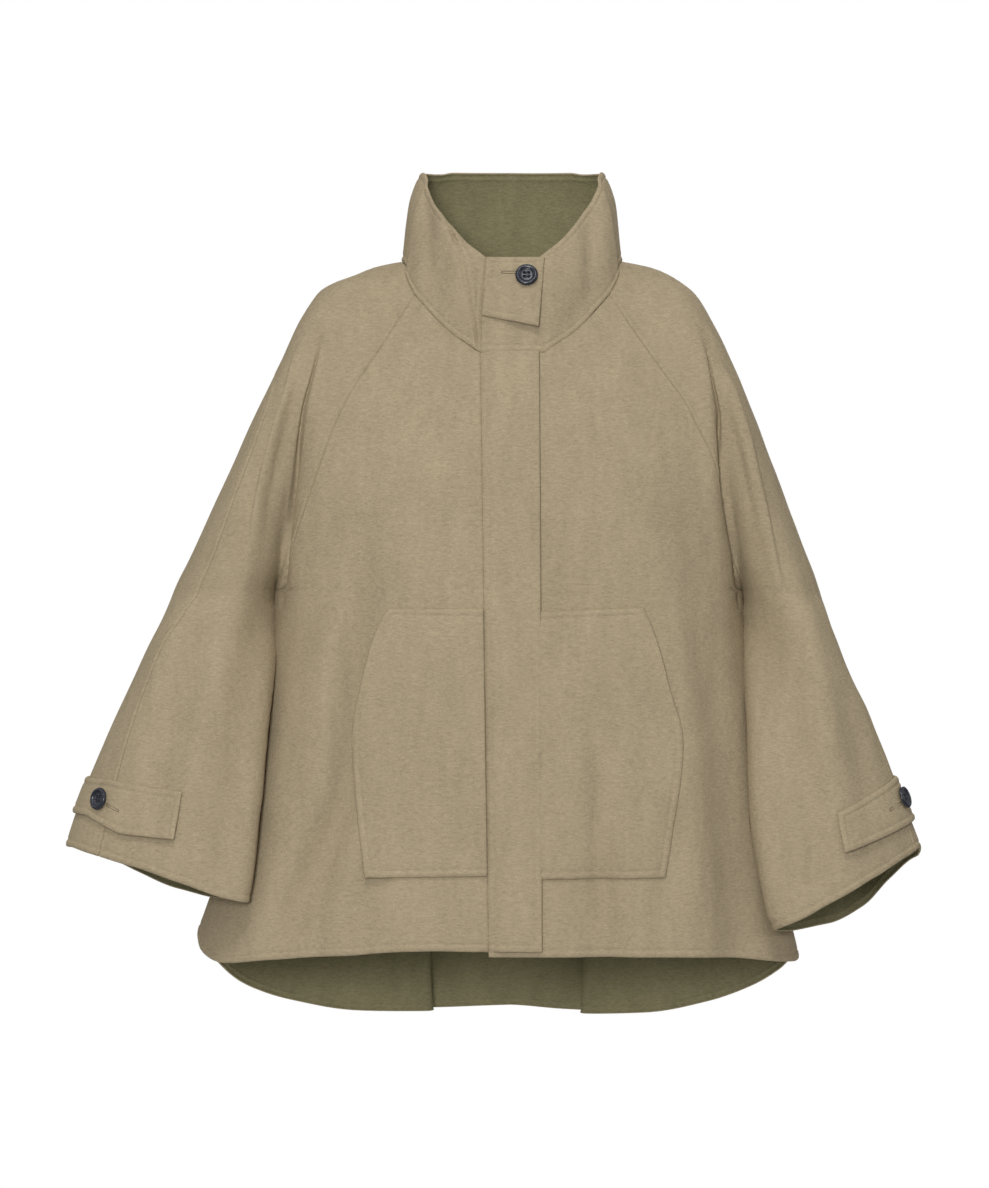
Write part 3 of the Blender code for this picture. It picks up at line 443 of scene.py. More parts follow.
    @staticmethod
    def _round_corner(points: np.ndarray, corner: int, radius: float) -> tuple[np.ndarray, np.ndarray]:
        """Rounds a line near its corner, and gives the part before and the part after."""
        if radius <= 0:
            return points[: corner + 1], points[corner:]
        lengths = lengths_along(points)
        even = np.linspace(0, lengths[-1], 4 * FINE)
        line = divide(points, even / lengths[-1])
        reach = max(2, math.ceil(3 * radius / even[1]))
        kernel = np.exp(-0.5 * (np.arange(-reach, reach + 1) * even[1] / radius) ** 2)
        kernel /= kernel.sum()
        wide = np.pad(line, ((reach, reach), (0, 0)), mode="edge")
        smooth = np.stack([np.convolve(wide[:, k], kernel, "valid") for k in range(3)], axis=1)
        away = np.abs(even - lengths[corner]) / (3 * radius)
        room = np.minimum(even, even[-1] - even) / (3 * radius)
        weight = np.clip(1.5 - away, 0, 1) * np.clip(room, 0, 1)
        line = line + (smooth - line) * (weight * weight * (3 - 2 * weight))[:, None]
        middle = int(np.argmin(away))
        return line[: middle + 1], line[middle:]


def cut_at_x(line: np.ndarray, start_x: float, end_x: float) -> np.ndarray:
    """The stretch of a line between two distances from the centre."""
    xs = np.maximum.accumulate(line[:, 0])
    lengths = lengths_along(line)
    start, end = np.interp([start_x, end_x], xs, lengths) / lengths[-1]
    return divide(line, np.linspace(start, end, 2 * FINE))


def to_world(points: np.ndarray, side: Side) -> np.ndarray:
    """Points of one side in the row frame."""
    return points * np.array([side.value, 1, 1])


@dataclass(frozen=True)
class Crease:
    """A soft ridge or trough along a line that is drawn as seen from the front or the back.

    depth is above 0 for a ridge. lean makes one flank steeper than the other.
    """

    face: Face
    path: tuple[tuple[float, float], ...]
    width: float
    depth: float
    lean: float = 0.0
    only: str = ""  # the start of the names of the pieces that it is on, where that isn't all
    taper: float = 0.8  # how early it sinks towards its ends

    def profile(self, distance: np.ndarray, sign: np.ndarray) -> np.ndarray:
        """The relief across the crease, for a depth of 1."""
        return bell(distance / (self.width * (1 + self.lean * sign)))

    def relief(self, points: np.ndarray, normals: np.ndarray) -> np.ndarray:
        """How far it moves each point along its normal.

        Args:
            points: points of the cloth.
            normals: the way the cloth faces at each.

        Returns:
            A distance for each point.
        """
        path = np.array(self.path, float)
        flat = points[:, [0, 2]]
        best = np.full(len(flat), 1e9)
        share = np.zeros(len(flat))
        sign = np.zeros(len(flat))
        lengths = np.concatenate([[0], np.cumsum(np.linalg.norm(np.diff(path, axis=0), axis=1))])
        for k, (a, b) in enumerate(zip(path, path[1:])):
            run = b - a
            t = np.clip(((flat - a) @ run) / (run @ run), 0, 1)
            offset = flat - (a + t[:, None] * run)
            distance = np.linalg.norm(offset, axis=1)
            nearer = distance < best
            best = np.where(nearer, distance, best)
            share = np.where(nearer, (lengths[k] + t * np.linalg.norm(run)) / lengths[-1], share)
            sign = np.where(nearer, np.sign(offset[:, 0] * run[1] - offset[:, 1] * run[0]), sign)
        fade = np.sin(np.pi * np.clip(0.06 + 0.88 * share, 0, 1)) ** self.taper
        faces = np.clip(-self.face.value * normals[:, 1] * 4 + 0.8, 0, 1)
        return self.depth * fade * self.profile(best, sign) * faces


@dataclass(frozen=True)
class Overfold(Crease):
    """A fold whose cloth stands over what is beyond it: a lip, then a sudden step down.

    lean is 1 where the low side is to the right of the path as it is drawn, and -1 where it is to the left.
    """

    def profile(self, distance: np.ndarray, sign: np.ndarray) -> np.ndarray:
        """The relief across the fold, for a depth of 1."""
        beyond = distance * sign * self.lean
        step = 1 / (1 + np.exp(-beyond / 0.6))
        return 0.35 * (1 - step) * bell(distance / (0.7 * self.width)) - step * bell(distance / self.width)


@dataclass(frozen=True)
class Cleft(Crease):
    """A narrow, deep line between two swellings, with soft shade on the side that lean names."""

    def profile(self, distance: np.ndarray, sign: np.ndarray) -> np.ndarray:
        """The relief across the cleft, for a depth of 1."""
        beyond = distance * sign * self.lean
        shade = 1 / (1 + np.exp(-beyond / 1.2))
        swell = 0.26 * bell((distance - 0.9 * self.width) / (0.55 * self.width)) * (1 - shade)
        return swell - 0.36 * shade * bell(distance / self.width) - np.exp(-((distance / 1.5) ** 2))


class Drape:
    """The creases of the whole jacket, with a slight waviness that no cloth is without."""

    CREASES = (
        # The armpit clefts, where the body's side stands over the sleeve.
        Cleft(Face.FRONT, ((-189, -80), (-192.6, -101), (-202.3, -148), (-210, -204), (-217.8, -263),
                           (-221, -301), (-226, -345)), 11, 9.0, 1.0),
        Cleft(Face.FRONT, ((187, -70), (190.6, -91), (200.3, -154), (202.2, -204), (205.1, -232),
                           (211, -263), (217.7, -294), (223, -345)), 11, 9.0, -1.0),
        # The fold down each sleeve from the shoulder, which stands over the outer strip.
        Overfold(Face.FRONT, ((-206, -76), (-213, -88), (-218, -99), (-225, -131), (-237, -175), (-247, -216),
                              (-254, -257), (-260, -310)), 9, 5.0, 1.0, "", 1.1),
        Crease(Face.FRONT, ((-204, -96), (-212, -135), (-223, -185), (-233, -235), (-242, -290)), 7, -4.4),
        Overfold(Face.FRONT, ((206, -104), (214, -120), (220, -134), (227, -157), (235, -186), (242, -218),
                              (250, -251), (259, -300), (268, -345)), 9, 5.0, -1.0, "", 1.1),
        Crease(Face.FRONT, ((206, -126), (214, -165), (222, -205), (231, -250), (242, -310)), 7, -4.4),
        # The sleeves' inner edges, full where they hang in front of the body's sides.
        Crease(Face.FRONT, ((-238, -350), (-239.5, -400), (-243, -450), (-248, -510), (-253, -570),
                            (-260, -640)), 6, 3.4, 0.0, "sleeve", 0.12),
        Crease(Face.FRONT, ((233, -350), (235, -400), (238.5, -450), (240.5, -510), (244, -570), (252, -640)),
               6, 3.4, 0.0, "sleeve", 0.12),
        # Below the armpits, where the body's sides and the sleeves are full and meet.
        Crease(Face.FRONT, ((-231, -300), (-236, -350), (-240, -400), (-242, -440)), 9, 1.5, 0.0, "", 0.6),
        Crease(Face.FRONT, ((224, -300), (230, -350), (236, -410), (240, -480)), 9, 1.6, 0.0, "", 0.6),
        # The body beside the armpits: a lit ridge on the left, and a soft hollow on the right.
        Crease(Face.FRONT, ((180, -92), (187, -125), (193, -170), (195, -215), (199, -262)), 6, 2.2),
        Crease(Face.FRONT, ((-172, -120), (-182, -160), (-192, -215), (-200, -280)), 9, 1.6),
        Crease(Face.FRONT, ((-150, -200), (-166, -250), (-176, -310), (-186, -380)), 14, -2.0),
        Crease(Face.FRONT, ((156, -180), (164, -240), (174, -310), (182, -380)), 14, -2.0),
        # The collar: a soft hollow each side, and the turned front edge of the left-hand one.
        Crease(Face.FRONT, ((-87, 84), (-86, 40), (-84, 5), (-80, -40)), 7, -3.8, 0.0, "collar"),
        Crease(Face.FRONT, ((76, 60), (79, 15), (79, -15), (76, -44)), 8, -4.2, 0.0, "collar"),
        Crease(Face.FRONT, ((-79, 76), (-66, 44), (-52, 10), (-44, -10), (-40, -30), (-37, -58), (-33, -98)),
               5.5, 4.4, 0.3, "collar"),
        Cleft(Face.FRONT, ((-72, 54), (-56, 12), (-50, 0), (-43.5, -34), (-37.6, -63), (-32.5, -97)), 10, 6.0,
              -1.0, "collar"),
        Crease(Face.FRONT, ((92, -22), (74, -50), (52, -78), (36, -96)), 9, -2.2, 0.0, "collar"),
        # Long falls of the fronts and of the sleeves.
        Crease(Face.FRONT, ((-146, -270), (-152, -345), (-157, -420), (-158, -472), (-164, -530),
                            (-186, -580), (-210, -632), (-222, -700)), 11, -9.0, -0.2, "front", 0.5),
        Crease(Face.FRONT, ((-168, -330), (-178, -420), (-184, -480), (-198, -540), (-226, -600),
                            (-250, -660)), 15, 5.5, 0.0, "front"),
        Crease(Face.FRONT, ((-126, -560), (-140, -620), (-148, -690)), 11, -4.0, 0.0, "front"),
        Crease(Face.FRONT, ((-208, -400), (-224, -500), (-244, -620)), 13, 4.2),
        Crease(Face.FRONT, ((80, -440), (83, -520), (84, -600), (96, -690)), 8, -4.6),
        Crease(Face.FRONT, ((104, -560), (112, -620), (118, -690)), 14, 4.0),
        Crease(Face.FRONT, ((150, -300), (162, -430), (172, -540), (186, -670)), 15, 4.6),
        Crease(Face.FRONT, ((186, -330), (194, -440), (206, -560), (218, -690)), 13, -1.8),
        Crease(Face.FRONT, ((216, -400), (230, -520), (248, -660)), 12, 4.4),
        Crease(Face.FRONT, ((-74, -220), (-78, -330), (-84, -460), (-92, -600)), 22, 2.6),
        Crease(Face.FRONT, ((72, -240), (76, -330), (84, -450)), 22, 2.2),
        Crease(Face.FRONT, ((-262, -300), (-284, -400), (-306, -500), (-330, -610)), 12, 4.0),
        Crease(Face.FRONT, ((-296, -340), (-316, -420), (-340, -500), (-352, -560)), 13, -4.0),
        Crease(Face.FRONT, ((-316, -330), (-350, -430), (-382, -540)), 11, 3.0),
        Crease(Face.FRONT, ((-258, -420), (-267, -500), (-278, -580), (-286, -660)), 10, -3.0, 0.0, "sleeve"),
        Crease(Face.FRONT, ((278, -330), (296, -430), (312, -520), (330, -640)), 13, 4.0),
        Crease(Face.FRONT, ((262, -400), (273, -470), (286, -570), (296, -660)), 11, -3.8, 0.0, "sleeve"),
        Crease(Face.FRONT, ((302, -330), (326, -430), (348, -530)), 12, -3.4),
        Crease(Face.FRONT, ((176, -62), (196, -96), (224, -170), (250, -260)), 12, 1.6),
        # The back, much as the front.
        Crease(Face.BACK, ((-160, -180), (-176, -300), (-184, -420), (-200, -560), (-214, -700)), 18, 2.6),
        Crease(Face.BACK, ((162, -200), (172, -300), (178, -430), (190, -560), (205, -700)), 18, 2.4),
        Crease(Face.BACK, ((-128, -300), (-136, -450), (-146, -600), (-150, -740)), 15, -2.2),
        Crease(Face.BACK, ((126, -280), (132, -430), (140, -600), (143, -740)), 15, -2.0),
        Crease(Face.BACK, ((-214, -120), (-240, -220), (-262, -320), (-290, -440)), 10, 2.2, 0.3),
        Crease(Face.BACK, ((206, -120), (228, -220), (248, -320), (272, -440)), 10, 2.2, -0.3),
        Crease(Face.BACK, ((-330, -380), (-352, -480), (-378, -590)), 15, -1.8),
        Crease(Face.BACK, ((300, -380), (320, -480), (342, -590)), 15, -1.8),
    )
    FALLS = 1.5  # how much stronger the soft falls are than drawn; the sharp folds are as drawn
    WAVES = ((0.35, 0.021, 0.013, 0.4), (0.3, -0.034, 0.027, 1.9), (0.2, 0.067, 0.052, 3.1),
             (0.12, -0.11, 0.093, 0.8))

    def relief(self, node: str, points: np.ndarray, normals: np.ndarray) -> np.ndarray:
        """How far the cloth moves along its normals.

        Args:
            node: the piece's CAD node.
            points: points of the cloth.
            normals: the way the cloth faces at each.

        Returns:
            A distance for each point.
        """
        total = np.zeros(len(points))
        for crease in self.CREASES:
            if node.startswith(crease.only):
                strength = self.FALLS if type(crease) is Crease else 1.0
                total = total + strength * crease.relief(points, normals)
        for size, across, down, phase in self.WAVES:
            wave = np.sin(points[:, 0] * across + points[:, 2] * down + points[:, 1] * 0.03 + phase)
            total = total + size * wave
        return total


def edge_profile(distance: np.ndarray, border: Border) -> np.ndarray:
    """Relief beside an edge: it rounds over, swells, and dips at the stitches.

    Args:
        distance: distance from the edge.
        border: what the edge is.

    Returns:
        A distance along the normal for each point.
    """
    if border is Border.NONE:
        return np.zeros(distance.shape)
    if border is Border.SEAM:
        fold = -0.85 * np.exp(-((distance / 1.3) ** 2)) + 0.42 * bell((distance - 2.7) / 1.2)
        return fold - 0.15 * bell((distance - 6.0) / 1.0)
    fold = -0.6 * np.exp(-((distance / 1.1) ** 2)) + 0.3 * bell((distance - 3.1) / 1.3)
    return fold - 0.75 * bell((distance - 6.0) / 0.95)


class ClothGrid:
    """Rows of points of a piece's outer face, with what its four borders are."""

    def __init__(self, rows: list[np.ndarray], turned: bool,
                 borders: tuple[Border, Border, Border, Border]) -> None:
        """Measures how far each point is from each border.

        Args:
            rows: rows of points, all with the same count.
            turned: puts the outside on the other face.
            borders: those of the rows' start and end, and of the first and last row.
        """
        self.rows = np.array(rows)
        self.turned = turned
        across = np.linalg.norm(np.diff(self.rows, axis=1), axis=2)
        down = np.linalg.norm(np.diff(self.rows, axis=0), axis=2)
        count, width = self.rows.shape[:2]
        along = np.concatenate([np.zeros((count, 1)), np.cumsum(across, axis=1)], axis=1)
        below = np.concatenate([np.zeros((1, width)), np.cumsum(down, axis=0)], axis=0)
        self.flat = np.array([along[:, -1].max(), below[-1].max()])
        distances = (along, along[:, -1:] - along, below, below[-1:] - below)
        self.near = {}
        for kind in (Border.FREE, Border.SEAM):
            each = [d if border is kind else np.full(d.shape, FAR) for d, border in zip(distances, borders)]
            self.near[kind] = np.min(each, axis=0).ravel()

    def quads(self) -> np.ndarray:
        """Numbers of the corners of each face."""
        count, width = self.rows.shape[:2]
        numbers = np.arange(count * width).reshape(count, width)
        corners = [numbers[:-1, :-1], numbers[1:, :-1], numbers[1:, 1:], numbers[:-1, 1:]]
        if self.turned:
            corners = [corners[0], corners[3], corners[2], corners[1]]
        return np.stack([c.ravel() for c in corners], axis=1)


class ClothPiece:
    """A cut piece: its outer face as welded points, then a thin shell with its edges turned in."""

    def __init__(self, node: str, grids: list[ClothGrid], stacked: bool = False) -> None:
        """Welds the grids' points.

        Args:
            node: the CAD node that the piece stands for.
            grids: the grids of its outer face.
            stacked: whether the grids lie one below another, and not side by side.
        """
        self.node = node
        flats = np.array([grid.flat for grid in grids]) * MM
        totals, largest = flats.sum(axis=0), flats.max(axis=0)
        self.flat = (float(totals[0]), float(largest[1]))
        if stacked:
            self.flat = (float(largest[0]), float(totals[1]))
        points = np.concatenate([grid.rows.reshape(-1, 3) for grid in grids])
        starts = np.cumsum([0] + [grid.rows[..., 0].size for grid in grids])
        faces = np.concatenate([grid.quads() + start for grid, start in zip(grids, starts)])
        keys, first, numbers = np.unique(np.round(points, 3), axis=0, return_index=True, return_inverse=True)
        numbers = numbers.ravel()
        self.points = points[first]
        self.keys = keys
        self.near = {}
        for kind in (Border.FREE, Border.SEAM):
            nearest = np.full(len(keys), FAR)
            np.minimum.at(nearest, numbers, np.concatenate([grid.near[kind] for grid in grids]))
            self.near[kind] = nearest
        self.faces = self._clean(numbers[faces])

    @staticmethod
    def _clean(faces: np.ndarray) -> list[tuple[int, ...]]:
        """Drops repeated corners, and the faces that have too few left."""
        kept = []
        for face in faces.tolist():
            corners = tuple(c for i, c in enumerate(face) if c != face[i - 1])
            if len(corners) > 2 and len(set(corners)) == len(corners):
                kept.append(corners)
        return kept

    def triangles(self) -> np.ndarray:
        """The faces as triangles."""
        return np.array([(f[0], f[k], f[k + 1]) for f in self.faces for k in range(1, len(f) - 1)])

    def area(self) -> float:
        """Area of the outer face, in square metres."""
        a, b, c = (self.points[self.triangles()[:, k]] for k in range(3))
        return float(np.linalg.norm(np.cross(b - a, c - a), axis=1).sum() / 2 * MM * MM)


def corner_normals(points: np.ndarray, triangles: np.ndarray) -> np.ndarray:
    """A normal for each point, in which each triangle counts by its angle there."""
    a, b, c = (points[triangles[:, k]] for k in range(3))
    normal = np.cross(b - a, c - a)
    size = np.linalg.norm(normal, axis=1, keepdims=True)
    normal = normal / np.maximum(size, 1e-9)
    total = np.zeros(points.shape)
    for k in range(3):
        here, ahead, behind = (points[triangles[:, (k + step) % 3]] for step in range(3))
        u, v = ahead - here, behind - here
        cosine = (u * v).sum(1) / np.maximum(np.linalg.norm(u, axis=1) * np.linalg.norm(v, axis=1), 1e-9)
        np.add.at(total, triangles[:, k], normal * np.arccos(np.clip(cosine, -1, 1))[:, None])
    return total / np.maximum(np.linalg.norm(total, axis=1, keepdims=True), 1e-9)


class Tailor:
    """Makes the shells: shared normals across the seams, relief, thickness and edges."""

    CLOTH = 2.4
    EDGE_ROUND = 0.9

    def __init__(self, drape: Drape) -> None:
        """Keeps the creases."""
        self.drape = drape

    def share_normals(self, pieces: list[ClothPiece]) -> None:
        """Gives pieces that meet the same normals along their seams.

        Args:
            pieces: the pieces of the panels.
        """
        totals: dict[tuple, np.ndarray] = {}
        for piece in pieces:
            piece.normals = corner_normals(piece.points, piece.triangles())
            for key, normal in zip(map(tuple, piece.keys), piece.normals):
                totals[key] = totals.get(key, 0) + normal
        for piece in pieces:
            shared = np.array([totals[key] for key in map(tuple, piece.keys)])
            piece.normals = shared / np.maximum(np.linalg.norm(shared, axis=1, keepdims=True), 1e-9)

    def shape(self, piece: ClothPiece, lift: np.ndarray | float = 0.0) -> np.ndarray:
        """The piece's outer face with its relief.

        Args:
            piece: the piece, with its normals.
            lift: how far it is moved out first.

        Returns:
            Its points.
        """
        relief = self.drape.relief(piece.node, piece.points, piece.normals)
        for kind in (Border.FREE, Border.SEAM):
            uneven = 0.85 + 0.15 * np.sin(piece.points @ np.array([0.11, 0.13, 0.19]))
            relief = relief + edge_profile(piece.near[kind], kind) * uneven
        return piece.points + piece.normals * (relief + lift)[:, None]

    def make(self, piece: ClothPiece, finish: "Finish", lift: np.ndarray | float = 0.0) -> bpy.types.Object:
        """Args:
            piece: the piece, with its normals.
            finish: the cloth's two faces.
            lift: how far it is moved out.

        Returns:
            The object.
        """
        name = "cloth_" + piece.node
        outer = self.shape(piece, lift)
        inner = outer - self.CLOTH * piece.normals
        count = len(outer)
        faces = list(piece.faces)
        inside = [tuple(k + count for k in reversed(face)) for face in piece.faces]
        edges = {}
        for face in piece.faces:
            for i, a in enumerate(face):
                edges[a, face[(i + 1) % len(face)]] = True
        rim = [edge for edge in edges if edge[::-1] not in edges]
        outward = np.zeros(outer.shape)
        for a, b in rim:
            way = np.cross(outer[b] - outer[a], piece.normals[a])
            way = way / max(np.linalg.norm(way), 1e-9)
            outward[a] += way
            outward[b] += way
        numbers = sorted({k for edge in rim for k in edge})
        place = {k: 2 * count + i for i, k in enumerate(numbers)}
        push = outward[numbers]
        push = push / np.maximum(np.linalg.norm(push, axis=1, keepdims=True), 1e-9)
        free = (piece.near[Border.FREE][numbers] < piece.near[Border.SEAM][numbers]).astype(float)
        middle = (outer[numbers] + inner[numbers]) / 2 + push * (self.EDGE_ROUND * free)[:, None]
        border = []
        for a, b in rim:
            border.append((b, a, place[a], place[b]))
            border.append((place[b], place[a], a + count, b + count))
        mesh = bpy.data.meshes.new(name)
        points = np.concatenate([outer, inner, middle]) * MM
        mesh.from_pydata(points.tolist(), [], faces + inside + border)
        for material in finish.materials:
            mesh.materials.append(material)
        slots = [0] * len(faces) + [1] * len(inside) + [0] * len(border)
        mesh.polygons.foreach_set("material_index", slots)
        mesh.shade_smooth()
        mesh.update()
        shell = bpy.data.objects.new(name, mesh)
        bpy.context.scene.collection.objects.link(shell)
        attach(shell, "root")
        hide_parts(piece.node)
        piece.area()
        LOG.info("%s: %d faces, cut %.3f x %.3f m, %.4f square metres",
                 name, len(mesh.polygons), *piece.flat, piece.area())
        return shell


class Field:
    """A value in a shader, so that its maths can be written as expressions."""

    def __init__(self, nodes: "Nodes", socket: bpy.types.NodeSocket) -> None:
        """Keeps the output socket that carries the value."""
        self.nodes = nodes
        self.socket = socket

    def _math(self, operation: str, *values: "Field | float") -> "Field":
        """A Math node of these values."""
        return self.nodes.add("ShaderNodeMath", {"operation": operation}, dict(enumerate(values)))

    def __add__(self, other: "Field | float") -> "Field":
        """Sum."""
        return self._math("ADD", self, other)

    __radd__ = __add__

    def __sub__(self, other: "Field | float") -> "Field":
        """Difference."""
        return self._math("SUBTRACT", self, other)

    def __rsub__(self, other: float) -> "Field":
        """Difference, from a number."""
        return self._math("SUBTRACT", other, self)

    def __mul__(self, other: "Field | float") -> "Field":
        """Product."""
        return self._math("MULTIPLY", self, other)

    __rmul__ = __mul__

    def __truediv__(self, other: "Field | float") -> "Field":
        """Quotient."""
        return self._math("DIVIDE", self, other)

    def __rtruediv__(self, other: float) -> "Field":
        """Quotient of a number."""
        return self._math("DIVIDE", other, self)

    def __pow__(self, other: float) -> "Field":
        """Power."""
        return self._math("POWER", self, other)

    def clamp(self) -> "Field":
        """The value held between 0 and 1."""
        return self._math("MINIMUM", self._math("MAXIMUM", self, 0.0), 1.0)


class Nodes:
    """A node tree."""

    def __init__(self, tree: bpy.types.NodeTree) -> None:
        """Keeps the tree."""
        self.tree = tree

    def add(self, kind: str, settings: dict, inputs: dict, output: int | str = 0) -> Field:
        """Adds a node.

        Args:
            kind: the node's type.
            settings: its properties.
            inputs: values or fields for its input sockets.
            output: which output is given back.

        Returns:
            The output as a field.
        """
        node = self.tree.nodes.new(kind)
        for name, value in settings.items():
            setattr(node, name, value)
        for name, value in inputs.items():
            self.feed(node.inputs[name], value)
        return Field(self, node.outputs[output])

    def feed(self, socket: bpy.types.NodeSocket, value: "Field | float | tuple") -> None:
        """Sets a socket, or links a field to it."""
        if isinstance(value, Field):
            self.tree.links.new(value.socket, socket)
        else:
            socket.default_value = value

    def mix(self, factor: Field, low: "tuple | Field", high: "tuple | Field") -> Field:
        """A colour between two."""
        return self.add("ShaderNodeMix", {"data_type": "RGBA"}, {0: factor, 6: low, 7: high}, 2)

    def place(self, stretch: tuple[float, float, float]) -> Field:
        """The point on the object, with each axis stretched."""
        spot = self.add("ShaderNodeTexCoord", {}, {}, "Object")
        return self.add("ShaderNodeVectorMath", {"operation": "MULTIPLY"}, {0: spot, 1: stretch})

    def noise(self, stretch: tuple[float, float, float], scale: float, detail: float,
              rough: float = 0.5) -> Field:
        """Noise of a scale in cycles a metre, stretched along the axes."""
        return self.add("ShaderNodeTexNoise", {},
                        {"Vector": self.place(stretch), "Scale": scale, "Detail": detail, "Roughness": rough})


class Paint(Nodes):
    """A material with its shader."""

    def __init__(self, name: str) -> None:
        """Makes the material."""
        self.material = bpy.data.materials.new(name)
        self.material.use_nodes = True
        super().__init__(self.material.node_tree)
        self.shader = self.tree.nodes["Principled BSDF"]


@dataclass(frozen=True)
class WoolFace:
    """One face of brushed wool: its colours, nap and fibres."""

    name: str
    dark: tuple[float, float, float, float]
    light: tuple[float, float, float, float]
    fibre: float = 0.55
    nap: float = 0.6
    roughness: float = 0.96
    sheen: float = 0.2

    def build(self) -> bpy.types.Material:
        """Makes the material."""
        nodes = Paint(self.name)
        streaks = nodes.noise((1, 1, 3.2), 190.0, 3.0, 0.7)
        fuzz = nodes.noise((1, 1, 1.5), 620.0, 2.0, 0.6)
        felt = nodes.noise((1, 1, 0.22), 70.0, 3.0, 0.6)
        cloud = nodes.noise((1, 1, 0.7), 16.0, 2.0)
        tone = 0.5 + (streaks - 0.5) * 1.5 + (fuzz - 0.5) * 0.9 + (felt - 0.5) * 0.55 + (cloud - 0.5) * 0.35
        tone = tone.clamp()
        nodes.feed(nodes.shader.inputs["Base Color"], nodes.mix(tone, self.dark, self.light))
        nodes.feed(nodes.shader.inputs["Roughness"], (self.roughness - 0.06 * streaks).clamp())
        height = streaks * self.fibre + fuzz * self.nap + felt * 0.9
        bump = nodes.add("ShaderNodeBump", {},
                         {"Strength": 0.6, "Distance": 0.0012, "Height": height}, "Normal")
        nodes.feed(nodes.shader.inputs["Normal"], bump)
        nodes.shader.inputs["Sheen Weight"].default_value = self.sheen
        nodes.shader.inputs["Sheen Roughness"].default_value = 0.55
        nodes.shader.inputs["Sheen Tint"].default_value = self.light
        nodes.shader.inputs["Specular IOR Level"].default_value = 0.15
        return nodes.material


class Finish:
    """The two faces of the cloth."""

    def __init__(self, outside: WoolFace, inside: WoolFace) -> None:
        """Builds both materials."""
        self.materials = (outside.build(), inside.build())


@dataclass(frozen=True)
class ButtonFinish:
    """Dark, polished horn."""

    name: str = "button_horn"
    dark: tuple[float, float, float, float] = (0.006, 0.008, 0.014, 1)
    light: tuple[float, float, float, float] = (0.022, 0.025, 0.036, 1)
    roughness: float = 0.32

    def build(self) -> bpy.types.Material:
        """Makes the material."""
        nodes = Paint(self.name)
        veins = nodes.noise((1, 1, 2.5), 160.0, 4.0, 0.6)
        scuffs = nodes.noise((1, 1, 1), 1400.0, 3.0, 0.5)
        nodes.feed(nodes.shader.inputs["Base Color"], nodes.mix(veins, self.dark, self.light))
        nodes.feed(nodes.shader.inputs["Roughness"], (self.roughness + 0.12 * (scuffs - 0.5)).clamp())
        bump = nodes.add("ShaderNodeBump", {},
                         {"Strength": 0.15, "Distance": 0.0002, "Height": scuffs}, "Normal")
        nodes.feed(nodes.shader.inputs["Normal"], bump)
        return nodes.material


@dataclass(frozen=True)
class ThreadFinish:
    """Sewing thread."""

    name: str
    colour: tuple[float, float, float, float]

    def build(self) -> bpy.types.Material:
        """Makes the material."""
        nodes = Paint(self.name)
        twist = nodes.noise((1, 1, 1), 2600.0, 2.0, 0.5)
        darker = tuple(0.55 * c for c in self.colour[:3]) + (1.0,)
        nodes.feed(nodes.shader.inputs["Base Color"], nodes.mix(twist, darker, self.colour))
        nodes.shader.inputs["Roughness"].default_value = 0.8
        bump = nodes.add("ShaderNodeBump", {},
                         {"Strength": 0.5, "Distance": 0.0002, "Height": twist}, "Normal")
        nodes.feed(nodes.shader.inputs["Normal"], bump)
        return nodes.material


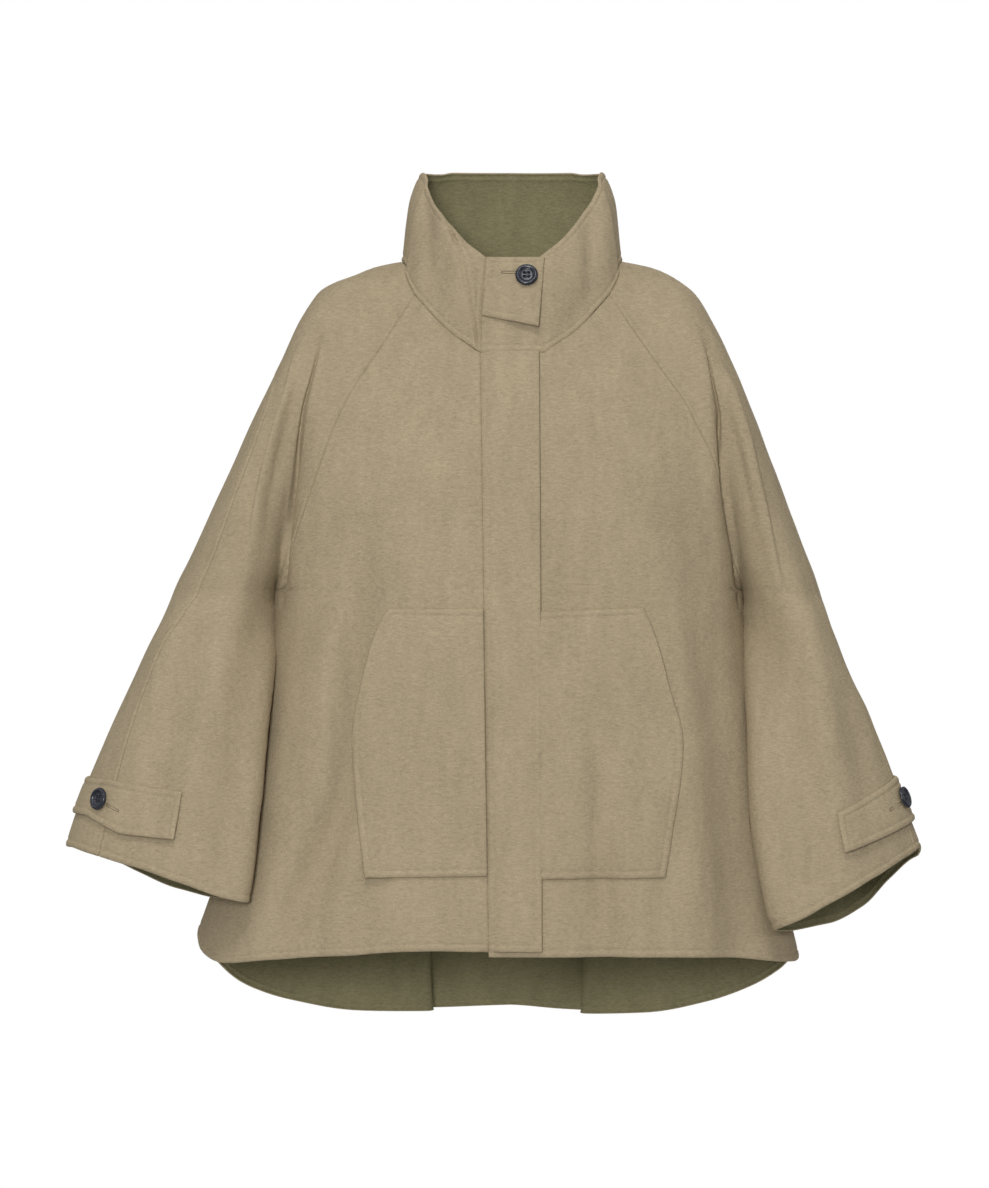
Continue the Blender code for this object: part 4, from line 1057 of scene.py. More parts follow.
class Panels:
    """The seven panels that are sewn together along the raglan, side, underarm and top seams."""

    def __init__(self, form: Form) -> None:
        """Works out the heights of the rows above the underarm.

        Args:
            form: the surface.
        """
        self.form = form
        cut = form.cut
        top = [-0.7, -2, -4, -6, -9, -12.5, -16.5, -20.5, -25, -29, -33, -37.5]
        neck = np.linspace(cut.raglan_neck, cut.neck_front, 15)[1:]
        chest = np.linspace(cut.neck_front, cut.underarm, 56)[1:]
        self.heights = np.concatenate([top, neck, chest])

    def front_rows(self, side: Side) -> list[np.ndarray]:
        """Rows of a front, from the neckline or the placket's line to the raglan and side seams."""
        cut = self.form.cut
        rows = []
        for z in self.heights[self.heights <= cut.raglan_neck]:
            line = self.form.upper(side, Face.FRONT, z)[0]
            inner = float(cut.neckline[Face.FRONT].at(z)) if z > cut.neck_front else self._start_x(side, z)
            stretch = cut_at_x(line, inner, float(cut.raglan[side, Face.FRONT].at(z)))
            rows.append(divide(stretch, spread(lengths_along(stretch)[-1], 50)))
        rows += self._lower(side, Face.FRONT)
        return [to_world(row, side) for row in rows]

    def _start_x(self, side: Side, z: float) -> float:
        """Where a front starts below the neckline: the left one hides the join under the placket."""
        line = float(self.form.cut.placket_x(z))
        if side is Side.RIGHT:
            return line
        return max(14.0, line - 2.4 * (self.form.cut.neck_front - z))

    def _lower(self, side: Side, face: Face) -> list[np.ndarray]:
        """Rows of one side of the body from the underarm to the hem."""
        cut = self.form.cut
        rows = []
        for share in spread(345.0, 76, start=False)[1:]:
            if face is Face.FRONT:
                start_z = cut.underarm + (float(cut.hem[side].at(0)) - cut.underarm) * share
                start = self.form.turn_at(side, self._start_x(side, start_z), start_z)
                turns = np.linspace(start, math.pi / 2, 3 * FINE)
                hem = cut.hem[side].at(np.degrees(turns))
            else:
                turns = np.linspace(0, math.pi / 2, 4 * FINE)
                hem = cut.hem[side].at(180 - np.degrees(turns))
            z = cut.underarm + (hem - cut.underarm) * share
            line = self.form.body(side, face, turns, z)
            shares = spread(lengths_along(line)[-1], 50) if face is Face.FRONT else self._back_shares()
            rows.append(divide(line, shares))
        return rows

    @staticmethod
    def _back_shares() -> np.ndarray:
        """Columns of half of the back, closer where the pleat folds over and at the seam."""
        s = np.linspace(0, 1, 2000)
        density = 1 + 2.2 * bell((s - 0.24) / 0.05) + 1.6 * bell((s - 1.0) / 0.02)
        total = np.cumsum(density)
        total = (total - total[0]) / (total[-1] - total[0])
        return np.interp(np.linspace(0, 1, 84), total, s)

    def underlap_rows(self, left: list[np.ndarray]) -> list[np.ndarray]:
        """Rows of the strip of the left front that runs on under the placket."""
        cut = self.form.cut
        first = int(np.argmin(np.abs(self.heights[self.heights <= cut.raglan_neck] - cut.neck_front)))
        rows = []
        for row in left[first:]:
            x, _, z = row[0]
            xs = np.linspace(-(float(cut.placket_x(z)) - 0.6), x, 15)
            rows.append(np.column_stack([xs, self.form.front_y(xs, np.full(15, z)), np.full(15, z)]))
            rows[-1][-1] = row[0]
        return rows

    def back_rows(self) -> list[np.ndarray]:
        """Rows of the back, from the right raglan and side seams to the left ones."""
        cut = self.form.cut
        halves = {}
        for side in Side:
            rows = []
            for z in self.heights[self.heights <= cut.back_neck]:
                line = self.form.upper(side, Face.BACK, z)[0]
                stretch = cut_at_x(line, 0, float(cut.raglan[side, Face.BACK].at(z)))
                rows.append(divide(stretch, self._back_shares()))
            rows += self._lower(side, Face.BACK)
            halves[side] = [to_world(row, side) for row in rows]
        return [np.concatenate([r[::-1], l[1:]]) for r, l in zip(halves[Side.RIGHT], halves[Side.LEFT])]

    def sleeve_grids(self, side: Side, face: Face) -> list[ClothGrid]:
        """Both grids of half a sleeve: above the underarm and below it."""
        cut = self.form.cut
        armpit_count, arm_count = 8, 40 if face is Face.FRONT else 50
        armpit_columns = armpit_count + 2 * (len(EDGE_STEPS) - 1)
        columns = armpit_columns + arm_count + 2 * (len(EDGE_STEPS) - 1) + 1
        neck = np.array([[float(cut.neckline[face].at(0)), 0, 0]])
        rows = [to_world(np.repeat(neck, columns, axis=0), side)]
        for z in self.heights:
            body, arm = self.form.upper(side, face, z)
            edge = cut.raglan[side, face]
            start = float(edge.at(z)) if z <= edge.points[0][0] else float(cut.neckline[face].at(z))
            stretch = cut_at_x(body, start, body[-1][0])
            armpit, outer = self._split_at_cleft(side, face, z, stretch, arm)
            armpit = divide(armpit, spread(lengths_along(armpit)[-1], armpit_count))
            outer = divide(outer, spread(lengths_along(outer)[-1], arm_count))
            rows.append(to_world(np.concatenate([armpit[:-1], outer]), side))
        lower = [rows[-1][armpit_columns:]]
        for share in spread(300.0, 66, start=False)[1:]:
            z = np.full(2 * FINE, cut.underarm)
            for _ in range(3):
                low = math.radians(float(cut.underarm_seam_turn.at(z[0])))
                high = math.radians(float(cut.top_seam_turn[side].at(z[-1])))
                turns = np.linspace(-low, face.value * math.pi - high, 2 * FINE)
                z = cut.underarm + (cut.cuff_z(side, turns) - cut.underarm) * share
            line = self.form.sleeve(side, turns, z)
            lower.append(to_world(divide(line, spread(lengths_along(line)[-1], arm_count)), side))
        turned = (side is Side.RIGHT) == (face is Face.FRONT)
        return [
            ClothGrid(rows, turned, (Border.SEAM, Border.SEAM, Border.NONE, Border.NONE)),
            ClothGrid(lower, turned, (Border.SEAM, Border.SEAM, Border.NONE, Border.FREE)),
        ]

    def _split_at_cleft(self, side: Side, face: Face, z: float, armpit: np.ndarray, arm: np.ndarray) -> tuple:
        """Moves the split between a row's two parts to the cleft that the front shows.

        Args:
            side: the side.
            face: the front or the back.
            z: the row's height.
            armpit: the part from the raglan seam to the armpit's corner.
            arm: the part from there to the top seam.

        Returns:
            Both parts.
        """
        if face is Face.BACK:
            return armpit, arm
        whole = np.concatenate([armpit, arm[1:]])
        lengths = lengths_along(whole)
        corner = lengths[len(armpit) - 1]
        cleft_x = float(self.form.cut.cleft[side].at(z))
        on_line = np.interp(cleft_x, np.maximum.accumulate(whole[:, 0]), lengths)
        weight = np.clip((-66 - z) / 30, 0, 1) * np.clip((z - self.form.cut.underarm) / 26, 0, 1)
        split = (corner + (on_line - corner) * weight) / lengths[-1]
        inner = divide(whole, np.linspace(0, split, 2 * FINE))
        return inner, divide(whole, np.linspace(split, 1, 4 * FINE))


@dataclass(frozen=True)
class CollarSize:
    """The stand collar."""

    middle_y: float = -14.0
    columns: int = 170
    height: Curve = Curve(((0, 93), (60, 92), (98, 88.5), (116, 94), (132, 100), (180, 101)))
    profile: Curve = Curve(((0, 1.0), (0.12, 0.985), (0.38, 0.965), (0.65, 0.935), (0.85, 0.885),
                            (1.0, 0.825)))


class Collar:
    """The stand collar, and the line of the neck that it is sewn to."""

    def __init__(self, form: Form, size: CollarSize) -> None:
        """Keeps the form and the sizes."""
        self.form = form
        self.size = size

    def neck_point(self, side: Side, face: Face, z: float) -> np.ndarray:
        """A point of the neckline at a height."""
        line = self.form.upper(side, face, z)[0]
        x = float(self.form.cut.neckline[face].at(z))
        return to_world(cut_at_x(line, x, x + 0.01)[:1], side)[0]

    def neck(self) -> np.ndarray:
        """The neckline from the line of the placket round the back to the end of the underlap."""
        cut = self.form.cut
        front = np.linspace(cut.neck_front, cut.raglan_neck, 24)
        rise = np.concatenate([front, np.linspace(-35, -3, 17), [-1.6, -0.7]])
        right = [self.neck_point(Side.RIGHT, Face.FRONT, z) for z in rise]
        left = [self.neck_point(Side.LEFT, Face.FRONT, z) for z in rise]
        behind = np.linspace(-0.7, cut.back_neck, 8)
        ring = right + [np.array([-110.0, 0, 0])]
        ring += [self.neck_point(Side.RIGHT, Face.BACK, z) for z in behind]
        for side, order in ((Side.RIGHT, -1), (Side.LEFT, 1)):
            line = self.form.upper(side, Face.BACK, cut.back_neck)[0]
            half = cut_at_x(line, 0, float(cut.neckline[Face.BACK].at(cut.back_neck)))
            ring += list(to_world(half, side)[::order][1:-1])
        ring += [self.neck_point(Side.LEFT, Face.BACK, z) for z in behind[::-1]]
        ring += [np.array([110.0, 0, 0])] + left[::-1]
        xs = np.linspace(cut.placket_top_x, -cut.placket_top_x + 0.6, 30)[1:]
        z = np.full(29, cut.neck_front)
        ring += list(np.column_stack([xs, self.form.front_y(xs, z), z]))
        return np.array(ring)

    def rows(self) -> list[np.ndarray]:
        """Rows of the collar from the neckline to its upper edge."""
        line = self.neck()
        neck = divide(line, spread(lengths_along(line)[-1], self.size.columns))
        middle = np.array([0, self.size.middle_y])
        flat = neck[:, :2] - middle
        angle = np.degrees(np.arctan2(np.abs(flat[:, 0]), -flat[:, 1]))
        height = self.size.height.at(angle)
        rows = []
        for share in spread(95.0, 24):
            around = middle + flat * float(self.size.profile.at(share))
            rows.append(np.column_stack([around, neck[:, 2] + height * share]))
        return rows

    def front_point(self, x: np.ndarray, z: np.ndarray) -> np.ndarray:
        """Points of the collar's front as seen from the front.

        Args:
            x: x of each in the row frame.
            z: height of each.

        Returns:
            The points.
        """
        cut = self.form.cut
        curve = cut.neckline[Face.FRONT]
        heights = np.linspace(0, cut.neck_front, 60)
        reach = curve.at(heights)
        base_x = x.copy()
        for _ in range(6):
            base_z = np.interp(np.abs(base_x), reach[::-1], heights[::-1])
            share = np.clip((z - base_z) / float(self.size.height.at(0)), 0, 1)
            base_x = x / self.size.profile.at(share)
        base_y = self.form.front_y(base_x, base_z)
        y = self.size.middle_y + (base_y - self.size.middle_y) * self.size.profile.at(share)
        return np.stack([x, y, z], axis=-1)


class Overlays:
    """Placket, pockets and tabs: pieces that lie on the panels."""

    POCKET_OUTLINE = {
        Side.RIGHT: Curve(((-347, 118), (-355, 124), (-408, 141), (-471, 153), (-534, 149), (-603, 141))),
        Side.LEFT: Curve(((-346, 124), (-368, 133), (-424, 147), (-476, 160), (-573, 150), (-603, 145))),
    }
    POCKET_TOP = {Side.RIGHT: (-347.0, -347.0), Side.LEFT: (-350.0, -346.0)}
    POCKET_FOOT = {Side.RIGHT: (-600.0, -603.0), Side.LEFT: (-603.0, -603.0)}

    def __init__(self, form: Form, collar: Collar) -> None:
        """Keeps the form and the collar."""
        self.form = form
        self.collar = collar

    def placket(self) -> tuple[ClothPiece, np.ndarray]:
        """The fly strip, and how far each of its points stands off the front."""
        cut = self.form.cut
        rows = []
        for share in spread(575.0, 130):
            z = cut.neck_front + (cut.placket_hem - cut.neck_front) * share
            low, high = -float(cut.placket_x(z)), float(cut.placket_edge(z))
            xs = low + (high - low) * spread(high - low, 12)
            z = np.full(xs.shape, z)
            rows.append(np.column_stack([xs, self.form.front_y(xs, z), z]))
        piece = ClothPiece("placket", [
            ClothGrid(rows, False, (Border.SEAM, Border.FREE, Border.SEAM, Border.FREE))])
        seam = -cut.placket_x(piece.points[:, 2])
        rise = np.clip((piece.points[:, 0] - seam) / 13.0, 0, 1)
        lift = 0.35 + 4.4 * rise * rise * (3 - 2 * rise)
        return piece, lift

    def pocket(self, side: Side) -> tuple[ClothPiece, np.ndarray]:
        """A patch pocket, and how far each of its points stands off the front."""
        cut = self.form.cut
        outline = self.POCKET_OUTLINE[side]
        top, foot = self.POCKET_TOP[side], self.POCKET_FOOT[side]
        rows = []
        for share in spread(255.0, 58):
            z_mid = top[1] + (foot[1] - top[1]) * share
            if side is Side.RIGHT:
                inner = float(cut.placket_x(z_mid)) + 0.6
            else:
                inner = float(cut.placket_edge(z_mid)) - 3.0
            outer = float(outline.at(z_mid))
            shares = spread(outer - inner, 28)
            xs = inner + (outer - inner) * shares
            upper = top[0] + (top[1] - top[0]) * shares
            lower = foot[0] + (foot[1] - foot[0]) * shares
            z = upper + (lower - upper) * share
            x = xs * side.value
            rows.append(np.column_stack([x, self.form.front_y(x, z), z]))
        piece = ClothPiece("pocket_" + side.word, [
            ClothGrid(rows, side is Side.RIGHT, (Border.SEAM, Border.FREE, Border.FREE, Border.FREE))])
        inner = np.clip(piece.near[Border.FREE] / 14.0, 0, 1)
        mouth = np.clip(1 - (outline.at(piece.points[:, 2]) - np.abs(piece.points[:, 0])) / 12.0, 0, 1)
        mouth = mouth * bell((piece.points[:, 2] + 410) / 34.0)
        return piece, 2.9 + 1.0 * inner + 3.2 * mouth

    def collar_tab(self) -> ClothPiece:
        """The tab that closes the collar at the throat."""
        rows = []
        lean = float(self.collar.size.profile.at(1.0))
        for share in spread(72.0, 18):
            middle_z = -4.5 - 72.0 * share
            left = -31.0 * (lean + (1 - lean) * np.clip((-4.5 - middle_z) / 93.0, 0, 1))
            xs = left + (30.5 - 6.0 * share - left) * spread(58.0, 14)
            across = (xs + 31.0) / 61.0
            low = -61.0 - 13.0 * across
            z = -4.9 + (low + 4.9) * share
            rows.append(self.collar.front_point(xs, z))
        return ClothPiece("collar_tab", [
            ClothGrid(rows, False, (Border.SEAM, Border.FREE, Border.FREE, Border.FREE))])

    CUFF_TOP = {Side.RIGHT: ((318, -523), (400, -513)), Side.LEFT: ((306, -544), (384, -512))}
    CUFF_FOOT = {
        Side.RIGHT: ((318, -567), (372, -563), (412, -547)),
        Side.LEFT: ((306, -581), (315, -578), (394, -551)),
    }
    CUFF_START = {Side.RIGHT: 319.0, Side.LEFT: 309.0}

    def cuff_tab(self, side: Side) -> ClothPiece:
        """The button tab of a cuff, round the front of the sleeve and past its outer end."""
        turns = np.radians(np.linspace(60, 192, 400))
        middle_z = -540.0
        guide = self.form.sleeve(side, turns, middle_z)
        first = int(np.argmin(np.abs(guide[:200, 0] - self.CUFF_START[side])))
        guide, turns = guide[first:], turns[first:]
        lengths = lengths_along(guide)
        at = spread(lengths[-1], 30) * lengths[-1]
        turn = np.interp(at, lengths, turns)
        across = np.interp(at, lengths, np.maximum.accumulate(guide[:, 0]))
        top = np.interp(across, *zip(*self.CUFF_TOP[side]))
        foot = np.interp(across, *zip(*self.CUFF_FOOT[side]))
        point = np.clip(1 - (lengths[-1] - at) / 32.0, 0, 1) ** 1.6
        middle = 0.62 * top + 0.38 * foot
        top, foot = top + (middle - top) * 0.6 * point, foot + (middle - foot) * 0.6 * point
        rows = [
            to_world(self.form.sleeve(side, turn, top + (foot - top) * share), side)
            for share in spread(42.0, 10)
        ]
        return ClothPiece("cuff_tab_" + side.word, [
            ClothGrid(rows, side is Side.RIGHT, (Border.FREE, Border.FREE, Border.FREE, Border.FREE))])


@dataclass(frozen=True)
class ButtonSize:
    """A four-hole button."""

    radius: float = 11.0
    height: float = 3.6
    hole: float = 1.15
    ring: float = 2.8
    rings: int = 44
    sides: int = 96


class Button:
    """A dark button with a raised rim, its holes and its thread."""

    PROFILE = Curve(((0, 0.55), (0.45, 0.55), (0.56, 0.6), (0.68, 0.9), (0.8, 1.0), (0.92, 0.86),
                     (1.0, 0.45)))

    def __init__(self, size: ButtonSize, horn: bpy.types.Material, thread: bpy.types.Material) -> None:
        """Keeps the size and the finishes."""
        self.size = size
        self.horn = horn
        self.thread = thread

    def mesh(self, name: str) -> bpy.types.Mesh:
        """The button about its own middle, +Z out of its face."""
        size = self.size
        inner, outer = np.linspace(0, 0.5, 22)[1:], np.linspace(0.5, 1.0, size.rings - 21)[1:]
        r = np.concatenate([inner, outer]) * size.radius
        angle = np.arange(size.sides) * 2 * math.pi / size.sides
        radius, turn = np.meshgrid(r, angle, indexing="ij")
        x, y = radius * np.cos(turn), radius * np.sin(turn)
        z = self.PROFILE.at(radius / size.radius) * size.height
        for k in range(4):
            spot = math.radians(45 + 90 * k)
            away = np.hypot(x - size.ring * math.cos(spot), y - size.ring * math.sin(spot))
            z = z - 1.7 / (1 + np.exp((away - size.hole) / 0.12))
        top = np.stack([x, y, z], axis=-1).reshape(-1, 3)
        low_r = np.array([1.0, 0.93, 0.72, 0.35]) * size.radius
        low_z = np.array([0.28, 0.08, 0.0, 0.0]) * size.height
        under = np.stack([np.outer(low_r, np.cos(angle)), np.outer(low_r, np.sin(angle)),
                          np.repeat(low_z[:, None], size.sides, axis=1)], axis=-1).reshape(-1, 3)
        points = np.concatenate([[[0, 0, self.PROFILE.at(0) * size.height]], top, under, [[0, 0, 0]]])
        count, rings = size.sides, len(r) + len(low_r)
        faces = [(0, 1 + k, 1 + (k + 1) % count) for k in range(count)]
        for ring in range(rings - 1):
            start = 1 + ring * count
            for k in range(count):
                ahead = (k + 1) % count
                faces.append((start + k, start + count + k, start + count + ahead, start + ahead))
        last = 1 + (rings - 1) * count
        faces += [(last + k, len(points) - 1, last + (k + 1) % count) for k in range(count)]
        mesh = bpy.data.meshes.new(name)
        mesh.from_pydata((points * MM).tolist(), [], faces)
        mesh.materials.append(self.horn)
        mesh.shade_smooth()
        return mesh

    def place(self, node: str, stand: Matrix) -> bpy.types.Object:
        """Puts a button in place of a CAD one, with two stitches of thread.

        Args:
            node: the CAD button that it stands for.
            stand: where it is, +Z out of its face.

        Returns:
            The button.
        """
        button = bpy.data.objects.new("dressed_" + node, self.mesh("dressed_" + node))
        bpy.context.scene.collection.objects.link(button)
        button.matrix_world = stand
        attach(button, "root")
        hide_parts(node)
        reach = self.size.ring * math.sqrt(0.5)
        level = float(self.PROFILE.at(0)) * self.size.height
        for k, offset in enumerate((-reach, reach)):
            for strand in (-0.32, 0.32):
                at = offset + strand
                path = [(-reach, at, level - 1.2), (-reach * 0.7, at, level + 0.25),
                        (0, offset + strand * 1.2, level + 0.42), (reach * 0.7, at, level + 0.25),
                        (reach, at, level - 1.2)]
                name = f"thread_{node}_{k}_{'a' if strand < 0 else 'b'}"
                tube(name, [tuple(stand @ (Vector(p) * MM)) for p in path], 0.36, self.thread)
        return button


def tube(name: str, path: list[tuple], radius: float, material: bpy.types.Material,
         closed: bool = False) -> bpy.types.Object:
    """A round tube along points in metres, made as a mesh.

    Args:
        name: the object's name.
        path: its points.
        radius: its radius in millimetres.
        material: its finish.
        closed: whether its ends meet.

    Returns:
        The object.
    """
    line = np.array([tuple(p) for p in path])
    if not closed:
        shares = np.linspace(0, 1, 16)
        lengths = lengths_along(line)
        smooth = [Curve(tuple(zip(lengths, line[:, k]))).at(shares * lengths[-1]) for k in range(3)]
        line = np.stack(smooth, axis=1)
    ahead = np.roll(line, -1, axis=0) - np.roll(line, 1, axis=0)
    if not closed:
        ahead[0], ahead[-1] = line[1] - line[0], line[-1] - line[-2]
    ahead /= np.linalg.norm(ahead, axis=1, keepdims=True)
    up = np.array([0.13, 0.31, 0.94])
    side = np.cross(ahead, up)
    side /= np.linalg.norm(side, axis=1, keepdims=True)
    over = np.cross(side, ahead)
    count = 8
    rings = []
    for k in range(count):
        angle = 2 * math.pi * k / count
        rings.append(line + radius * MM * (math.cos(angle) * side + math.sin(angle) * over))
    points = np.stack(rings, axis=1).reshape(-1, 3)
    faces = []
    turns = len(line) if closed else len(line) - 1
    for i in range(turns):
        j = (i + 1) % len(line)
        for k in range(count):
            n = (k + 1) % count
            faces.append((i * count + k, i * count + n, j * count + n, j * count + k))
    if not closed:
        faces.append(tuple(range(count))[::-1])
        faces.append(tuple((len(line) - 1) * count + k for k in range(count)))
    mesh = bpy.data.meshes.new(name)
    mesh.from_pydata(points.tolist(), [], faces)
    mesh.materials.append(material)
    mesh.shade_smooth()
    piece = bpy.data.objects.new(name, mesh)
    bpy.context.scene.collection.objects.link(piece)
    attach(piece, "root")
    return piece


class Buttonhole:
    """A worked slit: a bead of thread round it."""

    HALF = 1.1  # half the width of the slit
    BEAD = 0.42  # radius of the thread
    STAND_OFF = 0.1
    END_POINTS = 10  # points round each end

    def __init__(self, thread: bpy.types.Material) -> None:
        """Keeps the finish."""
        self.thread = thread

    def place(self, name: str, surface: bpy.types.Object, start: Vector, end: Vector) -> None:
        """Lays the bead on a surface, between two points seen from the front.

        Args:
            name: the piece's name.
            surface: the tab that it is worked in.
            start: one end.
            end: the other end.
        """
        run = (end - start).normalized()
        across = run.cross(Vector((0, 1, 0))).normalized()
        half = self.HALF * MM
        path = []
        for middle, first in ((start, math.pi / 2), (end, -math.pi / 2)):
            for k in range(self.END_POINTS):
                angle = first + math.pi * k / (self.END_POINTS - 1)
                path.append(middle + run * half * math.cos(angle) + across * half * math.sin(angle))
        hits = []
        for spot in path:
            found, place, normal, _ = surface.ray_cast(Vector((spot.x, -1, spot.z)), Vector((0, 1, 0)))
            hits.append(tuple(place + normal * self.STAND_OFF * MM) if found else tuple(spot))
        tube(name, hits, self.BEAD, self.thread, closed=True)


class Studio:
    """Camera, light and floor."""

    CAMERA = (-0.0175, -3.0, -0.332)
    LENS = 90.9
    AMBIENT = 0.28  # light from all round, level; the backdrop that the camera sees is white
    AMBIENT_RISE = 0.3  # how much more comes from straight above, and less from below
    # Name, place, target, diameter in metres, power in watts.
    LIGHTS = (
        ("key", (-0.35, -3.1, -0.06), (0, 0, -0.4), 0.6, 54),
        ("top", (-0.2, -2.2, 2.3), (0, 0, -0.35), 0.8, 33),
        ("side_left", (2.8, -0.6, 0.6), (0.1, 0, -0.4), 1.4, 9),
        ("side_right", (-2.8, -0.4, 0.6), (-0.1, 0, -0.4), 1.4, 6),
        ("back", (0.6, 3.1, 0.9), (0, 0, -0.4), 1.8, 52),
    )
    FLOOR_RADIUS = 1.2
    FLOOR_Z = -1.4
    FLOOR_SIDES = 64

    def build(self) -> None:
        """Makes the camera, the lights, the world and the floor."""
        scene = bpy.context.scene
        camera = bpy.data.objects.new("camera", bpy.data.cameras.new("camera"))
        camera.location = self.CAMERA
        camera.rotation_euler = (math.radians(90), 0, 0)
        camera.data.lens = self.LENS
        camera.data.clip_end = 60
        scene.collection.objects.link(camera)
        scene.camera = camera
        scene.view_settings.view_transform = "Standard"
        scene.view_settings.look = "None"
        for light in self.LIGHTS:
            self._light(*light)
        world = bpy.data.worlds.new("world")
        scene.world = world
        world.use_nodes = True
        sky = Nodes(world.node_tree)
        seen = sky.add("ShaderNodeLightPath", {}, {}, "Is Camera Ray")
        background = world.node_tree.nodes["Background"]
        background.inputs["Color"].default_value = (1, 1, 1, 1)
        way = sky.add("ShaderNodeTexCoord", {}, {}, "Generated")
        up = sky.add("ShaderNodeSeparateXYZ", {}, {"Vector": way}, "Z")
        ambient = (self.AMBIENT + self.AMBIENT_RISE * up).clamp()
        sky.feed(background.inputs["Strength"], ambient + (1 - ambient) * seen)
        self._floor()

    @staticmethod
    def _light(name: str, place: tuple, target: tuple, size: float, power_w: float) -> None:
        """A soft area light aimed at a point."""
        data = bpy.data.lights.new(name, "AREA")
        data.shape = "DISK"
        data.size = size
        data.energy = power_w
        light = bpy.data.objects.new(name, data)
        light.location = place
        light.rotation_euler = (Vector(target) - Vector(place)).to_track_quat("-Z", "Y").to_euler()
        bpy.context.scene.collection.objects.link(light)

    def _floor(self) -> None:
        """A round pale floor, below the camera's view."""
        nodes = Paint("floor_paint")
        nodes.shader.inputs["Base Color"].default_value = (0.7, 0.7, 0.69, 1)
        nodes.shader.inputs["Roughness"].default_value = 0.9
        mesh = bpy.data.meshes.new("floor")
        turns = [2 * math.pi * k / self.FLOOR_SIDES for k in range(self.FLOOR_SIDES)]
        radius = self.FLOOR_RADIUS
        ring = [(radius * math.cos(turn), radius * math.sin(turn), self.FLOOR_Z) for turn in turns]
        mesh.from_pydata(ring, [], [tuple(range(self.FLOOR_SIDES))])
        mesh.materials.append(nodes.material)
        floor = bpy.data.objects.new("floor", mesh)
        bpy.context.scene.collection.objects.link(floor)


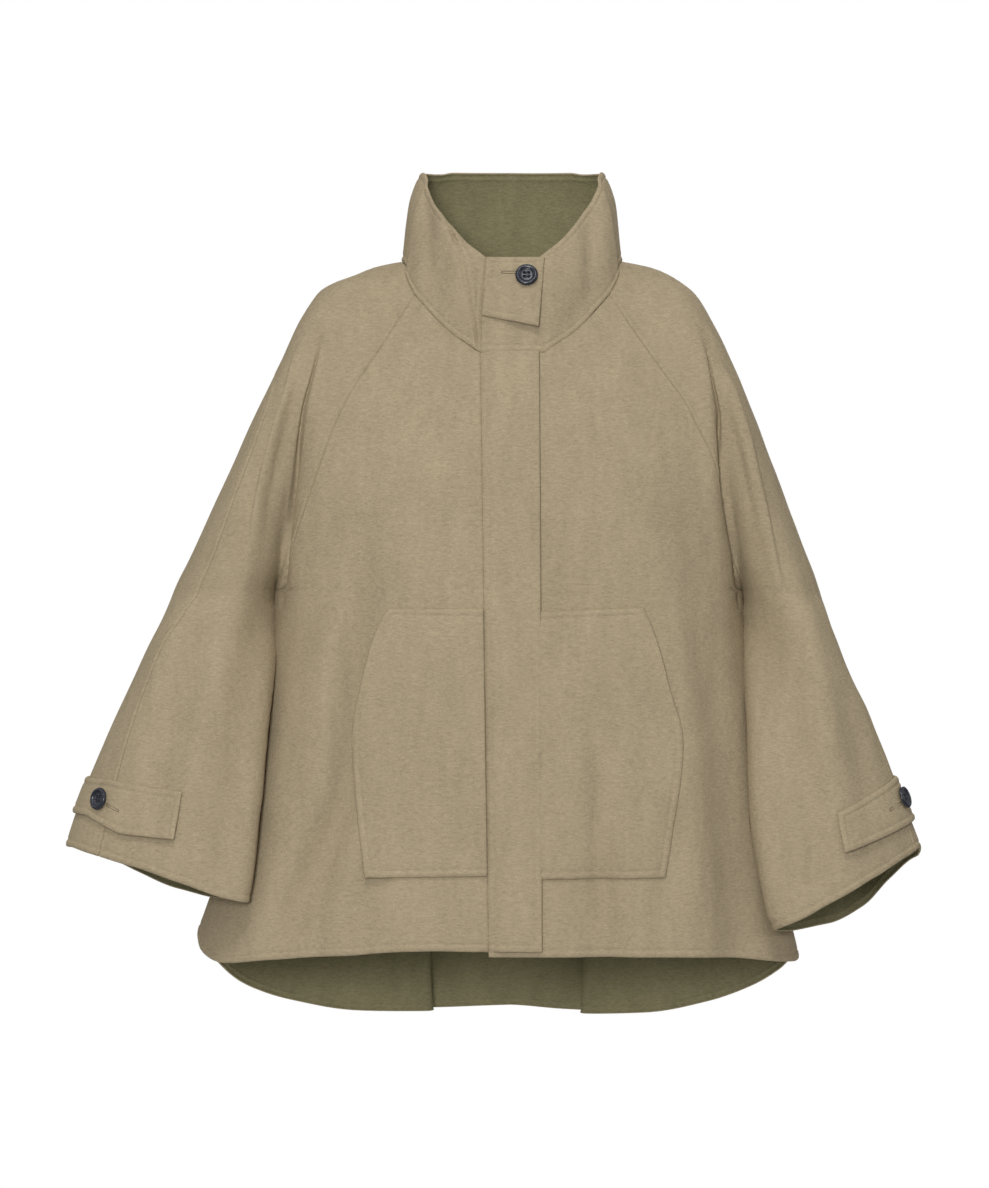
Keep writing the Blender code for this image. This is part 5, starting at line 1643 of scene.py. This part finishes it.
class Jacket:
    """The whole jacket."""

    COLLAR_LIFT = 0.9  # the collar's lower edge lies on the panels
    # How far each tab stands off at its root, and how much more at its lower edge.
    THROAT_TAB_LIFT = (3.0, 6.5)
    CUFF_TAB_LIFT = (3.4, 3.8)
    TAB_CURL = 1.5  # how late the lower edge starts to stand off
    BUTTON_STAND_OFF = 1.2
    # Each button's tab, with x and z as seen from the front.
    BUTTONS = {
        "button_collar": ("collar_tab", 13.6, -23.0),
        "button_cuff_right": ("cuff_tab_right", -400.0, -531.0),
        "button_cuff_left": ("cuff_tab_left", 381.5, -531.0),
    }
    AIM_OFFSETS = ((0, 0), (6, 0), (-6, 0), (0, 6), (0, -6))  # where the tab is felt for, round a button
    # Each buttonhole's tab, and the x and z of its two ends.
    BUTTONHOLES = {
        "buttonhole_collar": ("collar_tab", (-9.5, -19.5), (4.0, -19.5)),
        "buttonhole_cuff_right": ("cuff_tab_right", (-392.0, -536.0), (-381.0, -541.0)),
        "buttonhole_cuff_left": ("cuff_tab_left", (377.5, -536.0), (366.0, -541.0)),
    }

    def __init__(self) -> None:
        """Makes the form, the finishes and the tailor."""
        self.form = Form(Cut(), Pleat())
        self.tailor = Tailor(Drape())
        self.collar = Collar(self.form, CollarSize())
        self.finish = Finish(
            WoolFace("wool_taupe", (0.25, 0.202, 0.129, 1), (0.41, 0.334, 0.219, 1)),
            WoolFace("wool_olive", (0.135, 0.122, 0.064, 1), (0.24, 0.218, 0.12, 1)),
        )
        self.horn = ButtonFinish().build()
        self.thread = ThreadFinish("thread_dark", (0.03, 0.03, 0.035, 1)).build()
        self.hole_thread = ThreadFinish("thread_taupe", (0.2, 0.155, 0.095, 1)).build()

    def build(self) -> None:
        """Makes every piece."""
        panels = Panels(self.form)
        seam, free, none = Border.SEAM, Border.FREE, Border.NONE
        right = panels.front_rows(Side.RIGHT)
        left = panels.front_rows(Side.LEFT)
        pieces = [
            ClothPiece("front_right", [ClothGrid(right, True, (seam, seam, none, free))]),
            ClothPiece("front_left", [
                ClothGrid(left, False, (none, seam, none, free)),
                ClothGrid(panels.underlap_rows(left), False, (free, none, seam, free))]),
            ClothPiece("back", [ClothGrid(panels.back_rows(), True, (seam, seam, seam, free))]),
            ClothPiece("collar", [ClothGrid(self.collar.rows(), False, (free, free, free, free))]),
        ]
        for side in Side:
            for face in Face:
                node = f"sleeve_{face.name.lower()}_{side.word}"
                pieces.append(ClothPiece(node, panels.sleeve_grids(side, face), stacked=True))
        self.tailor.share_normals(pieces)
        shells = {}
        for piece in pieces:
            lift = self.COLLAR_LIFT if piece.node == "collar" else 0.0
            shells[piece.node] = self.tailor.make(piece, self.finish, lift)
        overlays = Overlays(self.form, self.collar)
        for piece, lift in (overlays.placket(), overlays.pocket(Side.RIGHT), overlays.pocket(Side.LEFT)):
            shells[piece.node] = self._dress_alone(piece, lift)
        tab = overlays.collar_tab()
        low = np.clip((-10 - tab.points[:, 2]) / 65, 0, 1) * np.clip((tab.points[:, 0] + 31) / 40, 0, 1)
        root, more = self.THROAT_TAB_LIFT
        shells["collar_tab"] = self._dress_alone(tab, root + more * low**self.TAB_CURL)
        root, more = self.CUFF_TAB_LIFT
        for side in Side:
            tab = overlays.cuff_tab(side)
            low = np.clip((-535 - tab.points[:, 2]) / 36, 0, 1)
            shells["cuff_tab_" + side.word] = self._dress_alone(tab, root + more * low**self.TAB_CURL)
        self._buttons(shells)

    def _dress_alone(self, piece: ClothPiece, lift: np.ndarray | float) -> bpy.types.Object:
        """Dresses a piece that shares no seam normals."""
        piece.normals = corner_normals(piece.points, piece.triangles())
        return self.tailor.make(piece, self.finish, lift)

    def _buttons(self, shells: dict[str, bpy.types.Object]) -> None:
        """Places the buttons, their thread and the buttonholes."""
        maker = Button(ButtonSize(), self.horn, self.thread)
        hole = Buttonhole(self.hole_thread)
        for node, (tab, x, z) in self.BUTTONS.items():
            hits = []
            for dx, dz in self.AIM_OFFSETS:
                eye = Vector(((x + dx) * MM, -1, (z + dz) * MM))
                found, place, normal, _ = shells[tab].ray_cast(eye, Vector((0, 1, 0)))
                if found:
                    hits.append((place, normal))
            facing = sum((normal for _, normal in hits), Vector()).normalized()
            middle = Matrix.Translation(hits[0][0] + facing * self.BUTTON_STAND_OFF * MM)
            maker.place(node, middle @ facing.to_track_quat("Z", "Y").to_matrix().to_4x4())
        bpy.context.view_layer.update()
        for name, (tab, *ends) in self.BUTTONHOLES.items():
            start, end = (Vector((x * MM, 0, z * MM)) for x, z in ends)
            hole.place(name, shells[tab], start, end)


def main() -> None:
    """Dresses the jacket and lights it."""
    logging.basicConfig(level=logging.INFO, format="%(message)s")
    Studio().build()
    Jacket().build()
    bpy.context.view_layer.update()


if __name__ == "__main__":
    main()
